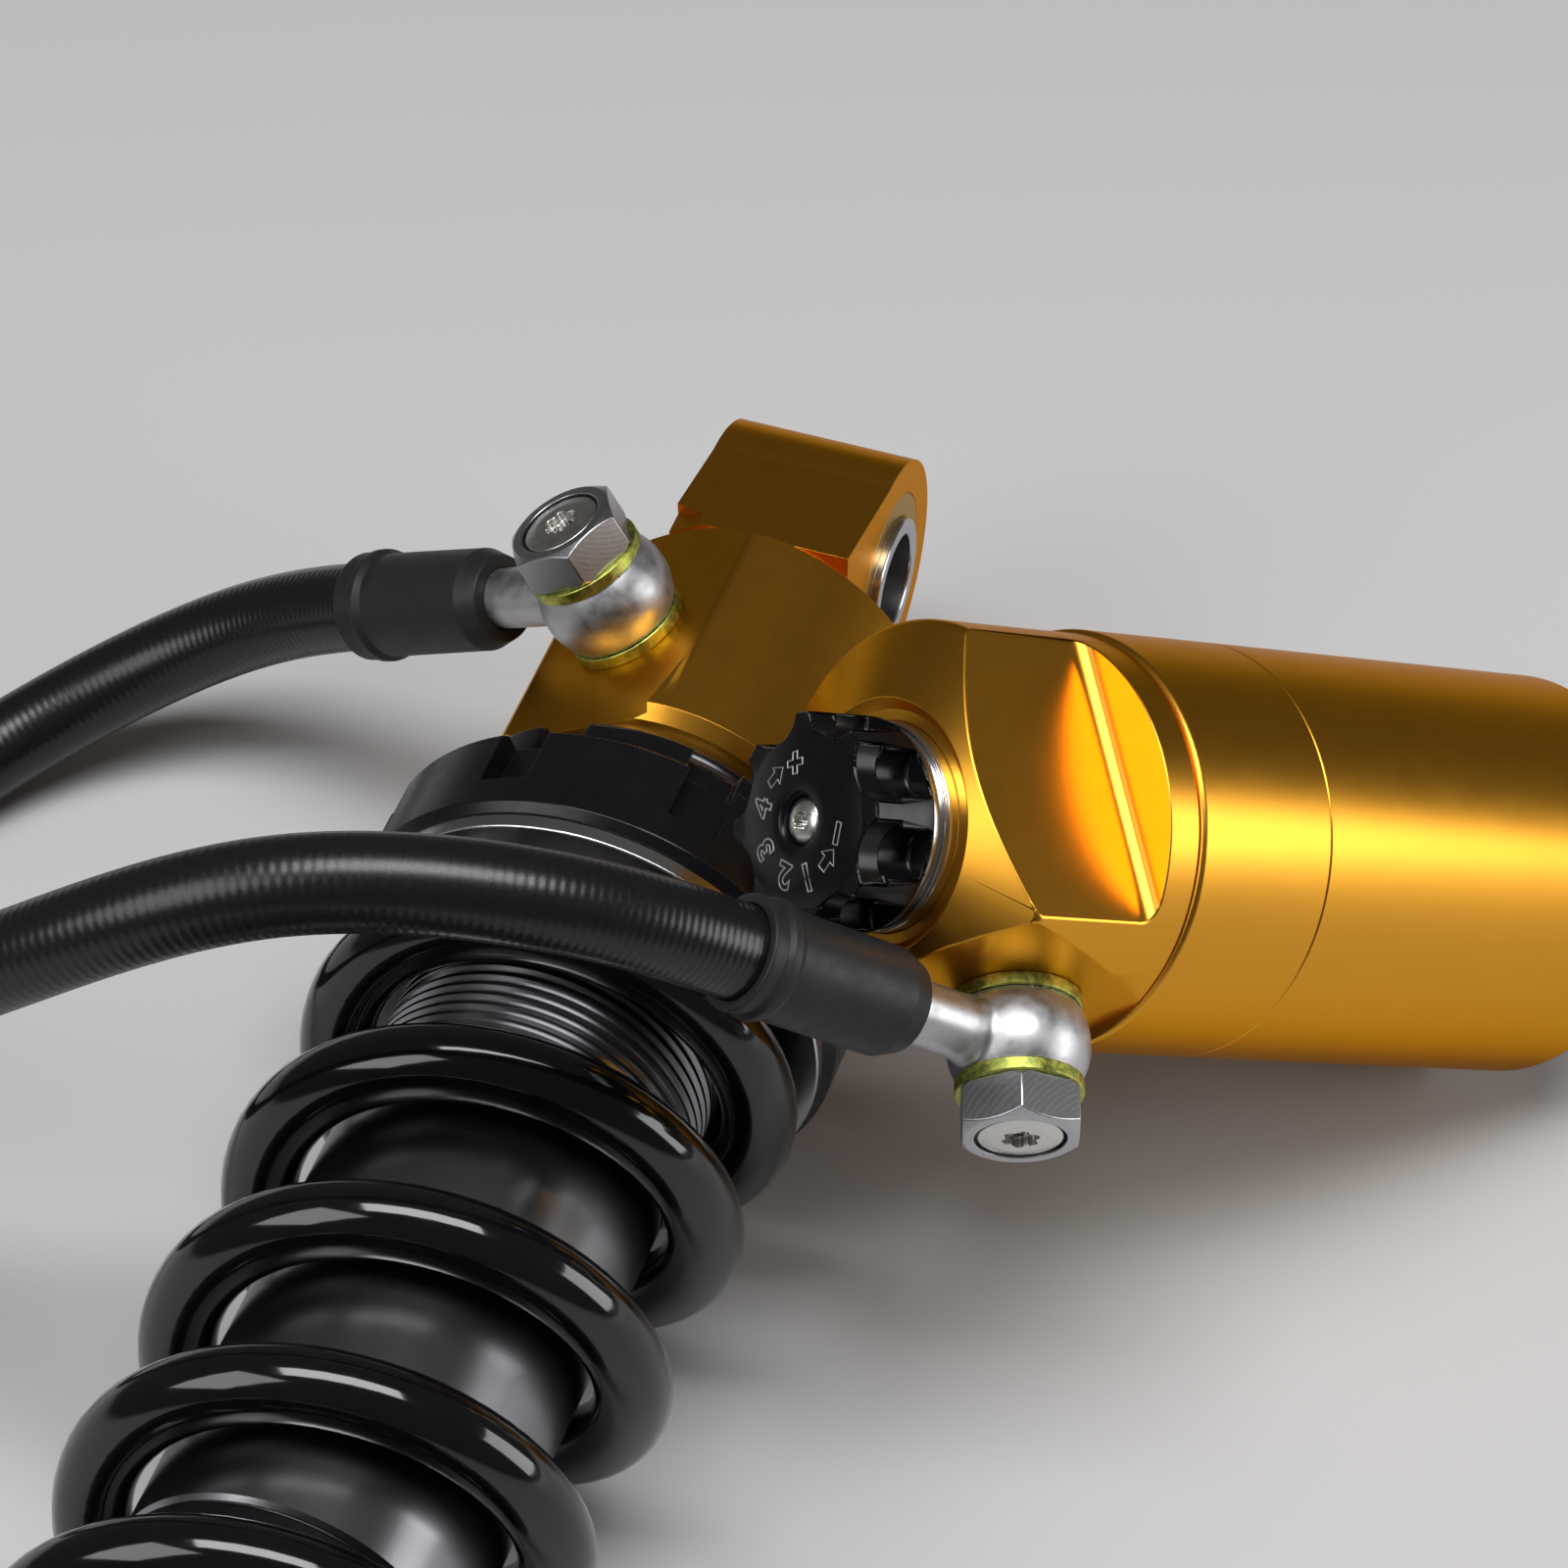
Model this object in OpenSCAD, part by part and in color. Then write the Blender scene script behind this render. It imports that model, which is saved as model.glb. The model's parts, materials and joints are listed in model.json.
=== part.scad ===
// Coil-over shock absorber with a hose-fed gas reservoir, lying on its side.
// The upper eye's bore is at the origin, along X. The shock's axis runs along -Y.
// The reservoir leans beside the preload collar, and its tail stands on the ground.

/* [Shock] */
// Travel of the piston rod
stroke = 55; // [45:1:58]

/* [Mounting eyes] */
// Outer radius of each eye
eye_r = 15; // [14:0.5:16]
// Width of each eye
eye_w = 22; // [20:0.5:26]
// Outer radius of the polymer bush in each eye
bush_r = 11; // [10:0.5:12]
// Outer radius of the steel sleeve in each bush
sleeve_r = 8; // [7.5:0.1:9]
// How far each sleeve stands out past its eye, at each side
sleeve_proud = 1; // [0.5:0.25:3]
// Radius of the sleeve's bore, for a 12 mm bolt
bolt_bore_r = 6.05; // [5.05:0.05:6.6]

/* [Head] */
// How far the round head block stands out past the body tube
head_wall = 3.5; // [2.5:0.25:5]
// From the eye's centre to the head block
head_top = 14; // [12:0.5:16]
// Length of the head block
head_len = 36; // [34:1:42]
// From the eye's centre to the hose port
port_s = 33; // [30:0.5:33]
// How deep the port's seat is cut into the round head block
port_cut = 3; // [2:0.25:3.5]
// Width of the cut across the head block
port_cut_w = 40; // [36:1:44]
// Length of the cut along the head block
port_cut_len = 24; // [20:0.5:26]
// Lean of the hose port away from vertical
port_lean = 30; // [15:1:40]
// Turn of the port's banjo about its bolt
port_turn = 170; // [150:1:190]

/* [Damper body] */
// Outer radius of the body tube
body_r = 18.5; // [17.5:0.1:18.8]
// Wall of the body tube
body_wall = 2; // [1.5:0.1:3]
// How deep the body tube screws into the head
socket_len = 11; // [8:0.5:11]
// Length of the seal head inside the tube
seal_head_len = 14; // [12:0.5:18]
// Thickness of the seal head's flange
flange_t = 4; // [3:0.25:6]

/* [Preload collar] */
// From the eye's centre to the lock ring
lock_s = 54; // [53:0.25:55]
// Thickness of the lock ring
lock_t = 6; // [4:0.25:6.5]
// How far the lock ring stands out past the body tube
lock_wall = 5.5; // [4.5:0.25:7]
// From the eye's centre to the preload collar
collar_s = 61; // [61:0.25:64]
// Thickness of the preload collar
collar_t = 12.95; // [10:0.05:14]
// How far the collar and the lower spring seat stand out past the spring
collar_lip = 1; // [0.5:0.1:3]
// Number of spanner slots
slot_count = 8; // [4:1:10]
// Width of a spanner slot
slot_w = 6; // [4:0.25:7]
// Depth of a spanner slot
slot_d = 3.2; // [2:0.1:4]
// Thickness of the thrust washer under the collar
thrust_t = 2; // [1:0.1:3]

/* [Spring] */
// Gap between the body tube and the inside of the spring
spring_gap = 1; // [0.6:0.1:2]
// Diameter of the spring's wire
wire_d = 8.5; // [7:0.1:9]
// Length of the spring as fitted
spring_len = 180; // [170:1:184]
// Active turns of the spring
active_turns = 6.8; // [5:0.1:8]
// Closed turns at each end of the spring
closed_turns = 0.85; // [0.6:0.05:1]
// Turn of the spring about its axis
spring_phase = 200; // [0:5:355]

/* [Rod and piston] */
// Radius of the piston rod
rod_r = 7; // [6:0.25:8]
// Radius of the rod's threaded ends
rod_thread_r = 4; // [3:0.25:4.5]
// Thickness of the piston
piston_t = 12; // [9:0.5:14]
// Thickness of each shim stack
shims_t = 2; // [1:0.25:3]
// Height of the piston's nut
nut_t = 7; // [5:0.5:8]
// Across the flats of the piston's nut
nut_af = 13; // [11:0.5:14]
// Length of the bump stop
bump_len = 18; // [12:1:20]
// Radius of the bump stop
bump_r = 13; // [11:0.5:14]

/* [Lower end] */
// How far the lower mount reaches up into the spring, past its seat
spigot_rise = 10; // [8:0.5:14]
// From the rebound wheel to the lower eye's outline
block_len = 20; // [12:1:40]
// Radius of the spigot that carries the lower spring seat
spigot_r = 16; // [15:0.25:16.5]
// Thickness of the lower spring seat
seat_t = 10; // [8:0.5:12]
// Radius of the rebound wheel
wheel_r = 16; // [14:0.25:18]
// Thickness of the rebound wheel
wheel_t = 12; // [9:0.25:13]
// Radius of the hub that the rebound wheel turns on
hub_r = 10; // [9:0.25:11]
// Grip scallops on the rebound wheel
wheel_grips = 12; // [8:1:16]

/* [Reservoir] */
// Radius of the reservoir's head
res_head_r = 22.5; // [22:0.1:23]
// Radius of the reservoir's tube
res_r = 23; // [22.5:0.1:24]
// Wall of the reservoir's tube
res_wall = 3; // [2:0.1:3.5]
// From the knob's ring to the tail of the tube
res_len = 98.1; // [94:0.1:110]
// From the knob's ring to the end of the reservoir's head
res_head_len = 25.7; // [24:0.1:28]
// Length of the collar that joins head and tube
res_collar_len = 19.3; // [16:0.1:22]
// Slope of the reservoir's axis against the ground
res_tilt = 30.7; // [29:0.1:33]
// Heading of the reservoir's tail, from +X towards +Y
res_heading = 47.5; // [45:0.5:50]
// Where the reservoir passes the shock, from the eye's centre
res_pass_s = 74.75; // [72:0.25:78]
// Gap between the reservoir's head and the preload collar
lean_gap = 2; // [1:0.1:4]
// From the reservoir's axis to the milled flat on its head
flat_d = 15.2; // [14:0.1:17]
// From the knob's ring to the shoulder that ends the flat
flat_len = 21.3; // [19:0.1:22]
// Fillet between the flat and its shoulder
flat_fillet = 2; // [0.5:0.1:3]
// Turn of the milled flat about the reservoir's axis
flat_turn = 152.9; // [140:0.1:165]
// Depth of the cone at the knob's end
cone_len = 4.6; // [3:0.1:6]

/* [Hose port of the reservoir] */
// From the knob's ring to the banjo bolt's axis
res_port_t = 19.4; // [18:0.1:21]
// From the reservoir's axis to the seat of the banjo
res_seat_d = 19.3; // [18:0.1:20.5]
// Lean of the banjo bolt towards the knob
res_port_lean = 13.8; // [8:0.1:18]
// Turn of the banjo bolt about the reservoir's axis
res_port_turn = 60.3; // [50:0.1:70]

/* [Compression adjuster] */
// Radius of the steel ring under the knob
ring_r = 11.3; // [10.8:0.1:12]
// How deep the steel ring sits in the head
ring_h = 3.5; // [2.5:0.1:4.5]
// Radius of the knob over its ribs
knob_r = 11.6; // [10.8:0.1:13]
// Radius of the knob's hub, inside the ring
hub_bore_r = 9; // [8:0.1:9.5]
// From the ring's edge to the underside of the knob
knob_base = 2.3; // [2:0.1:3]
// From the ring's edge to the front of the knob's lobes
knob_h = 10.6; // [9:0.1:12]
// Height of the domed face over the lobes
dome_h = 0.8; // [0.4:0.1:1.5]
// Length of the scalloped front of the knob
rim_t = 3.4; // [2.5:0.1:4.5]
// Number of lobes on the knob
lobes = 8; // [6:1:10]
// Radius of the scallops between the lobes
scallop_r = 4.3; // [3.5:0.1:4.5]
// How deep the scallops cut into the knob
scallop_depth = 2.3; // [1.5:0.1:2.6]
// Radius of the flutes behind the scallops
flute_r = 2.8; // [2.2:0.1:3]
// How deep the flutes cut into the knob
flute_depth = 3.1; // [2:0.1:3.3]

/* [Hose fittings] */
// Radius of the banjo bolt's thread
bolt_r = 5; // [4.5:0.1:5.5]
// Outer radius of a sealing washer
washer_r = 6.95; // [6.5:0.05:7.5]
// Thickness of a sealing washer
washer_t = 1.5; // [1:0.1:2]
// Height of the banjo's eye
banjo_h = 8.4; // [8:0.1:10]
// Radius of the banjo's round eye
banjo_r = 7.6; // [7.4:0.1:8.5]
// Radius of the banjo's neck
neck_r = 3.6; // [3:0.1:4.2]
// From the bolt's axis to the rubber sleeve
neck_len = 16; // [14:0.25:17]
// Across the flats of the banjo bolt
hex_af = 12.5; // [12:0.1:14]
// Height of the banjo bolt's head
hex_h = 5.1; // [4:0.1:6.5]
// Length of the rubber sleeve
cover_len = 22; // [20:0.5:25]
// Radius of the rubber sleeve
cover_r = 6.1; // [6:0.05:7]
// Radius of the hose
hose_r = 5.25; // [4.5:0.05:5.5]

/* [Hidden] */
$fn = 96;
GOLD = [0.83, 0.60, 0.13];
BLACK = [0.07, 0.07, 0.08];
STEEL = [0.72, 0.72, 0.74];
ZINC = [0.66, 0.68, 0.42];
RUBBER = [0.13, 0.13, 0.14];
CHROME = [0.86, 0.87, 0.90];
BRONZE = [0.62, 0.47, 0.26];

running_fit = 0.03;   // radial clearance of a shaft that turns or slides
ring_fit = 0.05;      // radial clearance of a ring on the body's thread
wall_min = 1.2;       // least wall left under a groove
eps = 0.5;            // how far a cut reaches past a face
chamfer = 1.5;        // edge of the machined blocks

// Radii of the shock's parts, from the body tube outwards
head_r = body_r + head_wall;
lock_r = body_r + lock_wall;
port_seat_d = head_r - port_cut;
spring_in_r = body_r + spring_gap;
spring_r = spring_in_r + wire_d;
collar_r = spring_r + collar_lip;

// Stations along the shock, counted from the upper eye
head_end = head_top + head_len;
body_top = head_end - socket_len;
thrust_s = collar_s + collar_t + ring_fit;
spring_s = thrust_s + thrust_t;
seat_s = spring_s + spring_len;
flange_s = seat_s + seat_t;
mount_flange_t = 6;
wheel_gap = 0.5;
wheel_s = flange_s + mount_flange_t + wheel_gap;
block_s = wheel_s + wheel_t + wheel_gap;
block_r = eye_r;
eye_to_eye = block_s + block_len + eye_r;
lower_top = seat_s - spigot_rise;
bump_washer_t = 1.5;
wiper_lip = 1;
bump_gap = 1.5;
body_end = lower_top - bump_washer_t - bump_len - stroke - bump_gap - wiper_lip - flange_t;
seal_top = body_end - seal_head_len;
topout_t = 4;
topout_gap = 0.5;
rod_shoulder = seal_top - topout_t - topout_gap;
piston_s = rod_shoulder - shims_t - piston_t;
nut_s = piston_s - shims_t - nut_t;
rod_tip = nut_s - 2;
body_bore_r = body_r - body_wall;
head_corner = 5;
cavity_wall = 14;
cavity_r = 8;
cavity_top = bush_r + cavity_wall;
pilot_h = 5;
pilot_gap = 0.4;
clip_t = 1.5;
clip_d = 1;
clip_w = 2.2;
clip_in_r = spigot_r - clip_d;
clip_out_r = clip_in_r + clip_w;
clip_s = seat_s - pilot_h - clip_t;
mount_thread_len = 22;
rod_socket = 4;
seal_w = 3;
seal_h = 4;
seal_depth = 5;
seal_s = seal_top + seal_depth;
band_w = 0.8;
band_gap = 0.02;

// The reservoir's place: it leans beside the collar and its tail stands on the ground
tail_dir = [cos(res_tilt) * cos(res_heading), cos(res_tilt) * sin(res_heading), -sin(res_tilt)];
lean_dir = [-tail_dir[2], 0, tail_dir[0]] / norm([tail_dir[2], tail_dir[0]]);
lean_d = collar_r + res_head_r + lean_gap;
tail_rise = res_r * cos(res_tilt) + res_len * sin(res_tilt) - collar_r;
res_slide = (tail_rise - lean_d * lean_dir[2]) / sin(res_tilt);
ring_centre = [0, -res_pass_s, 0] + lean_d * lean_dir - res_slide * tail_dir;

// Stations along the reservoir, counted down from the knob's ring
res_bore_r = res_r - res_wall;
tube_top = res_head_len + res_collar_len;
collar_edge = 0.4;
tube_lap = 15;
lap_r = res_bore_r + res_wall / 2;
spigot_end = tube_top - 3;
recess_r = ring_r + 2.5;
recess_d = 1.2;
gas_chamber = 14;
gas_piston_t = tube_top + gas_chamber;
gas_piston_h = 14;
cap_t = 7;
rim_depth = 4.5;
cap_top = res_len - rim_depth - clip_t - cap_t;
oring_r = 1;
groove_d = 1.8;
groove_w = 2.4;
head_seal_t = spigot_end - 4.2;
cap_seal_t = cap_top + cap_t / 2;
gas_seal_t = gas_piston_t + 3.2;
gas_band_t = gas_piston_t + gas_piston_h / 2;
gas_band_len = 5;
adjuster_r = 9;
adjuster_end = 16;
needle_r = 2.6;

// Stack on each banjo bolt, from the port's seat outwards
eye_mid = washer_t + banjo_h / 2;
stack_h = 2 * washer_t + banjo_h;
bolt_fit = 0.1;
plug_r = 4.6;
plug_t = 1.6;
bolt_depth = 9;
ferrule_r = cover_r - 0.9;

// The hose's bends: how far the points that draw it stand off the straight line between
// its two ends, at even steps along that line
hose_sides = 10;
hose_grip = 2;
hose_pull = 22;
hose_bends = [
    [-35, -27, 21], [-53, -44, 10], [-68, -52, -5], [-79, -51, -22],
    [-83, -39, -37], [-76, -18, -39], [-51, 0, -30]
];

// ---- Frames ----

// Along the shock: local +Z points from the upper eye to the lower one
module on_shock() {
    rotate([90, 0, 0]) children();
}

// Along the reservoir: local +Z points out of the knob's end
module on_reservoir() {
    translate(ring_centre) rotate([0, 90 - res_tilt, res_heading - 180]) children();
}

// On the reservoir's port: +Z out along the bolt, +X along the banjo's neck
module on_reservoir_port() {
    on_reservoir()
        translate([0, 0, -res_port_t])
            rotate([0, 90 - res_port_lean, res_port_turn])
                translate([0, 0, res_seat_d]) rotate([0, 0, 180]) children();
}

// On the shock head's port: +Z out along the bolt, +X along the banjo's neck
module on_shock_port() {
    translate([0, -port_s, 0])
        rotate([0, -port_lean, 0])
            translate([0, 0, port_seat_d]) rotate([0, 0, port_turn]) children();
}

// ---- Shared shapes ----

// Ring between two radii, from z0 to z1
module ring(r_in, r_out, z0, z1) {
    translate([0, 0, z0])
        difference() {
            cylinder(r = r_out, h = z1 - z0);
            translate([0, 0, -eps]) cylinder(r = r_in, h = z1 - z0 + 2 * eps);
        }
}

// Round bar with both edges broken, from z0 to z1
module bar(r, z0, z1, edge) {
    rotate_extrude()
        polygon([
            [0, z0], [r - edge, z0], [r, z0 + edge],
            [r, z1 - edge], [r - edge, z1], [0, z1]
        ]);
}

// Cylinder across the shock, along X
module cross(r, w) {
    rotate([0, 90, 0]) cylinder(r = r, h = w, center = true);
}

// Ring across the shock, along X
module cross_ring(r_in, r_out, w) {
    difference() {
        cross(r_out, w);
        cross(r_in, w + 2 * eps);
    }
}

// Web from an eye to the block it stands on, seen along X
module lug(base_half, base_z) {
    rotate([90, 0, 90])
        linear_extrude(height = eye_w, center = true)
            polygon([[-eye_r, 0], [eye_r, 0], [base_half, base_z], [-base_half, base_z]]);
}

// O-ring round a shaft
module o_ring(centre_r, z) {
    translate([0, 0, z])
        rotate_extrude() translate([centre_r, 0]) circle(r = oring_r, $fn = 32);
}

// Groove for an O-ring, some way down the reservoir from its knob's ring
module seal_groove(t) {
    ring(res_bore_r - groove_d, res_bore_r + 1, -t - groove_w / 2, -t + groove_w / 2);
}

// Notches round a collar for a hook spanner
module spanner_slots(r, z0, z1) {
    for (i = [0 : slot_count - 1])
        rotate([0, 0, (i + 0.5) * 360 / slot_count])
            translate([r - slot_d, -slot_w / 2, z0 - eps])
                cube([slot_d + eps, slot_w, z1 - z0 + 2 * eps]);
}

// ---- Upper end of the shock ----

module shock_head() {
    color(GOLD)
        difference() {
            on_shock() {
                cross(eye_r, eye_w);
                lug(eye_r + 3, head_top + chamfer);
                rotate_extrude()
                    polygon([
                        [0, head_top], [head_r - head_corner, head_top],
                        [head_r, head_top + head_corner], [head_r, head_end - chamfer],
                        [head_r - chamfer, head_end], [0, head_end]
                    ]);
            }
            on_shock() {
                cross(bush_r, eye_w + 2 * eps);
                translate([0, 0, body_top]) cylinder(r = body_r, h = socket_len + eps);
                translate([0, 0, cavity_top])
                    cylinder(r = cavity_r, h = body_top - cavity_top + eps);
            }
            on_shock_port() {
                translate([-port_cut_len / 2, -port_cut_w / 2, 0])
                    cube([port_cut_len, port_cut_w, head_r]);
                translate([0, 0, -port_seat_d]) cylinder(r = bolt_r, h = port_seat_d + eps);
            }
        }
}

module upper_bush() {
    color(BRONZE) on_shock() cross_ring(sleeve_r + running_fit, bush_r, eye_w);
}

module upper_sleeve() {
    color(STEEL) on_shock() cross_ring(bolt_bore_r, sleeve_r, eye_w + 2 * sleeve_proud);
}

module body_tube() {
    color(STEEL) on_shock() ring(body_bore_r, body_r, body_top, body_end);
}

module seal_head() {
    seal_groove_r = rod_r + seal_w;
    color(BLACK)
        on_shock()
            difference() {
                union() {
                    translate([0, 0, seal_top])
                        cylinder(r = body_bore_r, h = seal_head_len + flange_t / 2);
                    bar(body_r, body_end, body_end + flange_t, 0.6);
                }
                translate([0, 0, seal_top - eps])
                    cylinder(r = rod_r + running_fit, h = seal_head_len + flange_t + 2 * eps);
                translate([0, 0, seal_s]) cylinder(r = seal_groove_r, h = seal_h);
                translate([0, 0, body_end]) cylinder(r = seal_groove_r, h = flange_t + eps);
            }
}

module rod_seal() {
    color(RUBBER)
        on_shock() ring(rod_r + running_fit, rod_r + seal_w, seal_s, seal_s + seal_h);
}

module rod_wiper() {
    color(RUBBER)
        on_shock()
            ring(rod_r + running_fit, rod_r + seal_w, body_end, body_end + flange_t + wiper_lip);
}

module lock_ring() {
    color(BLACK)
        on_shock()
            difference() {
                bar(lock_r, lock_s, lock_s + lock_t, 1);
                translate([0, 0, lock_s - eps])
                    cylinder(r = body_r + ring_fit, h = lock_t + 2 * eps);
                spanner_slots(lock_r, lock_s, lock_s + lock_t);
            }
}

module preload_collar() {
    color(BLACK)
        on_shock()
            difference() {
                bar(collar_r, collar_s, collar_s + collar_t, 1);
                translate([0, 0, collar_s - eps])
                    cylinder(r = body_r + ring_fit, h = collar_t + 2 * eps);
                spanner_slots(collar_r, collar_s, collar_s + collar_t * 0.6);
            }
}

module thrust_washer() {
    color(STEEL) on_shock() ring(body_r + ring_fit, spring_r, thrust_s, thrust_s + thrust_t);
}

// ---- Spring ----

spring_turns = active_turns + 2 * closed_turns;
closed_pitch = wire_d + 0.3;
active_pitch = (spring_len - wire_d - 2 * closed_turns * closed_pitch) / active_turns;
coil_r = spring_r - wire_d / 2;

// Height of the wire's centre after a number of turns
function coil_z(turn) =
    wire_d / 2
    + closed_pitch * min(turn, closed_turns)
    + active_pitch * min(max(turn - closed_turns, 0), active_turns)
    + closed_pitch * max(turn - closed_turns - active_turns, 0);

// One ring of points round the wire
function coil_ring(turn, sides) =
    let (a = 360 * turn + spring_phase)
    [for (k = [0 : sides - 1])
        let (b = 360 * k / sides, r = coil_r + wire_d / 2 * cos(b))
        [r * cos(a), r * sin(a), coil_z(turn) + wire_d / 2 * sin(b)]];

// Faces of a tube of points, ring after ring, closed at both ends
function tube_faces(rings, sides) = concat(
    [[for (k = [0 : sides - 1]) k]],
    [for (i = [0 : rings - 2], k = [0 : sides - 1])
        let (n = (k + 1) % sides)
        [i * sides + k, (i + 1) * sides + k, (i + 1) * sides + n, i * sides + n]],
    [[for (k = [sides - 1 : -1 : 0]) (rings - 1) * sides + k]]
);

module spring() {
    sides = 10;
    steps = round(spring_turns * 22);
    color(BLACK)
        on_shock()
            translate([0, 0, spring_s])
                polyhedron(
                    points = [for (i = [0 : steps])
                        each coil_ring(spring_turns * i / steps, sides)],
                    faces = tube_faces(steps + 1, sides)
                );
}

// ---- Lower end of the shock ----

module lower_seat() {
    pilot_r = spring_in_r - pilot_gap;
    color(BLACK)
        on_shock()
            difference() {
                union() {
                    bar(collar_r, seat_s, flange_s, 1.2);
                    bar(pilot_r, seat_s - pilot_h, seat_s + 2, 0.8);
                }
                translate([0, 0, seat_s - pilot_h - eps])
                    cylinder(r = spigot_r, h = pilot_h + seat_t + 2 * eps);
            }
}

module seat_clip() {
    color(STEEL)
        on_shock()
            difference() {
                ring(clip_in_r, clip_out_r, clip_s, clip_s + clip_t);
                translate([0, -clip_out_r / 8, clip_s - eps])
                    cube([2 * clip_out_r, clip_out_r / 4, clip_t + 2 * eps]);
            }
}

module rod() {
    color(CHROME)
        on_shock()
            rotate_extrude()
                polygon([
                    [0, rod_tip], [rod_thread_r, rod_tip], [rod_thread_r, rod_shoulder],
                    [rod_r, rod_shoulder], [rod_r, lower_top + rod_socket],
                    [rod_r - 2, lower_top + rod_socket],
                    [rod_r - 2, lower_top + mount_thread_len], [0, lower_top + mount_thread_len]
                ]);
}

module piston() {
    port_r = 1.8;
    color(STEEL)
        on_shock()
            difference() {
                ring(rod_thread_r, body_bore_r - ring_fit, piston_s, piston_s + piston_t);
                ring(body_bore_r - band_w, body_bore_r + 1,
                     piston_s + piston_t / 3, piston_s + piston_t * 2 / 3);
                for (i = [0 : 5])
                    rotate([0, 0, 60 * i])
                        translate([(rod_thread_r + body_bore_r) / 2, 0, piston_s - eps])
                            cylinder(r = port_r, h = piston_t + 2 * eps, $fn = 32);
            }
}

module piston_ring() {
    color(BRONZE)
        on_shock()
            ring(body_bore_r - band_w, body_bore_r - band_gap,
                 piston_s + piston_t / 3, piston_s + piston_t * 2 / 3);
}

module shims() {
    color(STEEL)
        on_shock() {
            ring(rod_thread_r, body_bore_r - 4, piston_s - shims_t, piston_s);
            ring(rod_thread_r, body_bore_r - 4, piston_s + piston_t, rod_shoulder);
        }
}

module piston_nut() {
    color(STEEL)
        on_shock()
            difference() {
                translate([0, 0, nut_s]) cylinder(d = nut_af / cos(30), h = nut_t, $fn = 6);
                translate([0, 0, nut_s - eps]) cylinder(r = rod_thread_r, h = nut_t + 2 * eps);
            }
}

module topout_bumper() {
    color(RUBBER) on_shock() ring(rod_r, rod_r + 4, rod_shoulder, rod_shoulder + topout_t);
}

module bump_stop() {
    z0 = lower_top - bump_washer_t - bump_len;
    waist = 1.5;
    color([0.75, 0.65, 0.25])
        on_shock()
            rotate_extrude()
                polygon([
                    [rod_r, z0], [bump_r - 3, z0], [bump_r - 1, z0 + 2],
                    [bump_r, z0 + bump_len * 0.3], [bump_r - waist, z0 + bump_len * 0.5],
                    [bump_r, z0 + bump_len * 0.7], [bump_r, z0 + bump_len], [rod_r, z0 + bump_len]
                ]);
}

module bump_washer() {
    color(STEEL) on_shock() ring(rod_r, bump_r + 1, lower_top - bump_washer_t, lower_top);
}

module lower_mount() {
    color(GOLD)
        on_shock()
            difference() {
                union() {
                    rotate_extrude()
                        polygon([
                            [0, lower_top], [spigot_r, lower_top], [spigot_r, flange_s],
                            [spigot_r + 5, flange_s], [spigot_r + 5, flange_s + 4],
                            [spigot_r + 3, flange_s + mount_flange_t],
                            [hub_r, flange_s + mount_flange_t], [hub_r, block_s],
                            [block_r, block_s], [block_r, eye_to_eye - eye_r],
                            [0, eye_to_eye - eye_r]
                        ]);
                    translate([0, 0, eye_to_eye]) {
                        cross(eye_r, eye_w);
                        mirror([0, 0, 1]) lug(eye_r, eye_to_eye - block_s - 2);
                    }
                }
                translate([0, 0, eye_to_eye]) cross(bush_r, eye_w + 2 * eps);
                translate([0, 0, lower_top - eps]) cylinder(r = rod_r, h = rod_socket + eps);
                translate([0, 0, lower_top - eps])
                    cylinder(r = rod_r - 2, h = mount_thread_len + eps);
                ring(clip_in_r, clip_out_r, clip_s, clip_s + clip_t);
            }
}

module lower_bush() {
    color(BRONZE)
        on_shock()
            translate([0, 0, eye_to_eye]) cross_ring(sleeve_r + running_fit, bush_r, eye_w);
}

module lower_sleeve() {
    color(STEEL)
        on_shock()
            translate([0, 0, eye_to_eye])
                cross_ring(bolt_bore_r, sleeve_r, eye_w + 2 * sleeve_proud);
}

module rebound_wheel() {
    grip_r = 1.6;
    color(BLACK)
        on_shock()
            difference() {
                bar(wheel_r, wheel_s, wheel_s + wheel_t, 1);
                translate([0, 0, wheel_s - eps])
                    cylinder(r = hub_r + running_fit, h = wheel_t + 2 * eps);
                for (i = [0 : wheel_grips - 1])
                    rotate([0, 0, 360 * i / wheel_grips])
                        translate([wheel_r + 0.4, 0, wheel_s - eps])
                            cylinder(r = grip_r, h = wheel_t + 2 * eps, $fn = 32);
            }
}

// ---- Reservoir ----

// The corner that the cutter leaves between the flat and its shoulder
module flat_outline() {
    far = 2 * res_head_r;
    translate([flat_d + flat_fillet, -flat_len]) square([far, far]);
    translate([flat_d, -flat_len + flat_fillet]) square([far, far]);
    translate([flat_d + flat_fillet, -flat_len + flat_fillet]) circle(r = flat_fillet);
}

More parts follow.
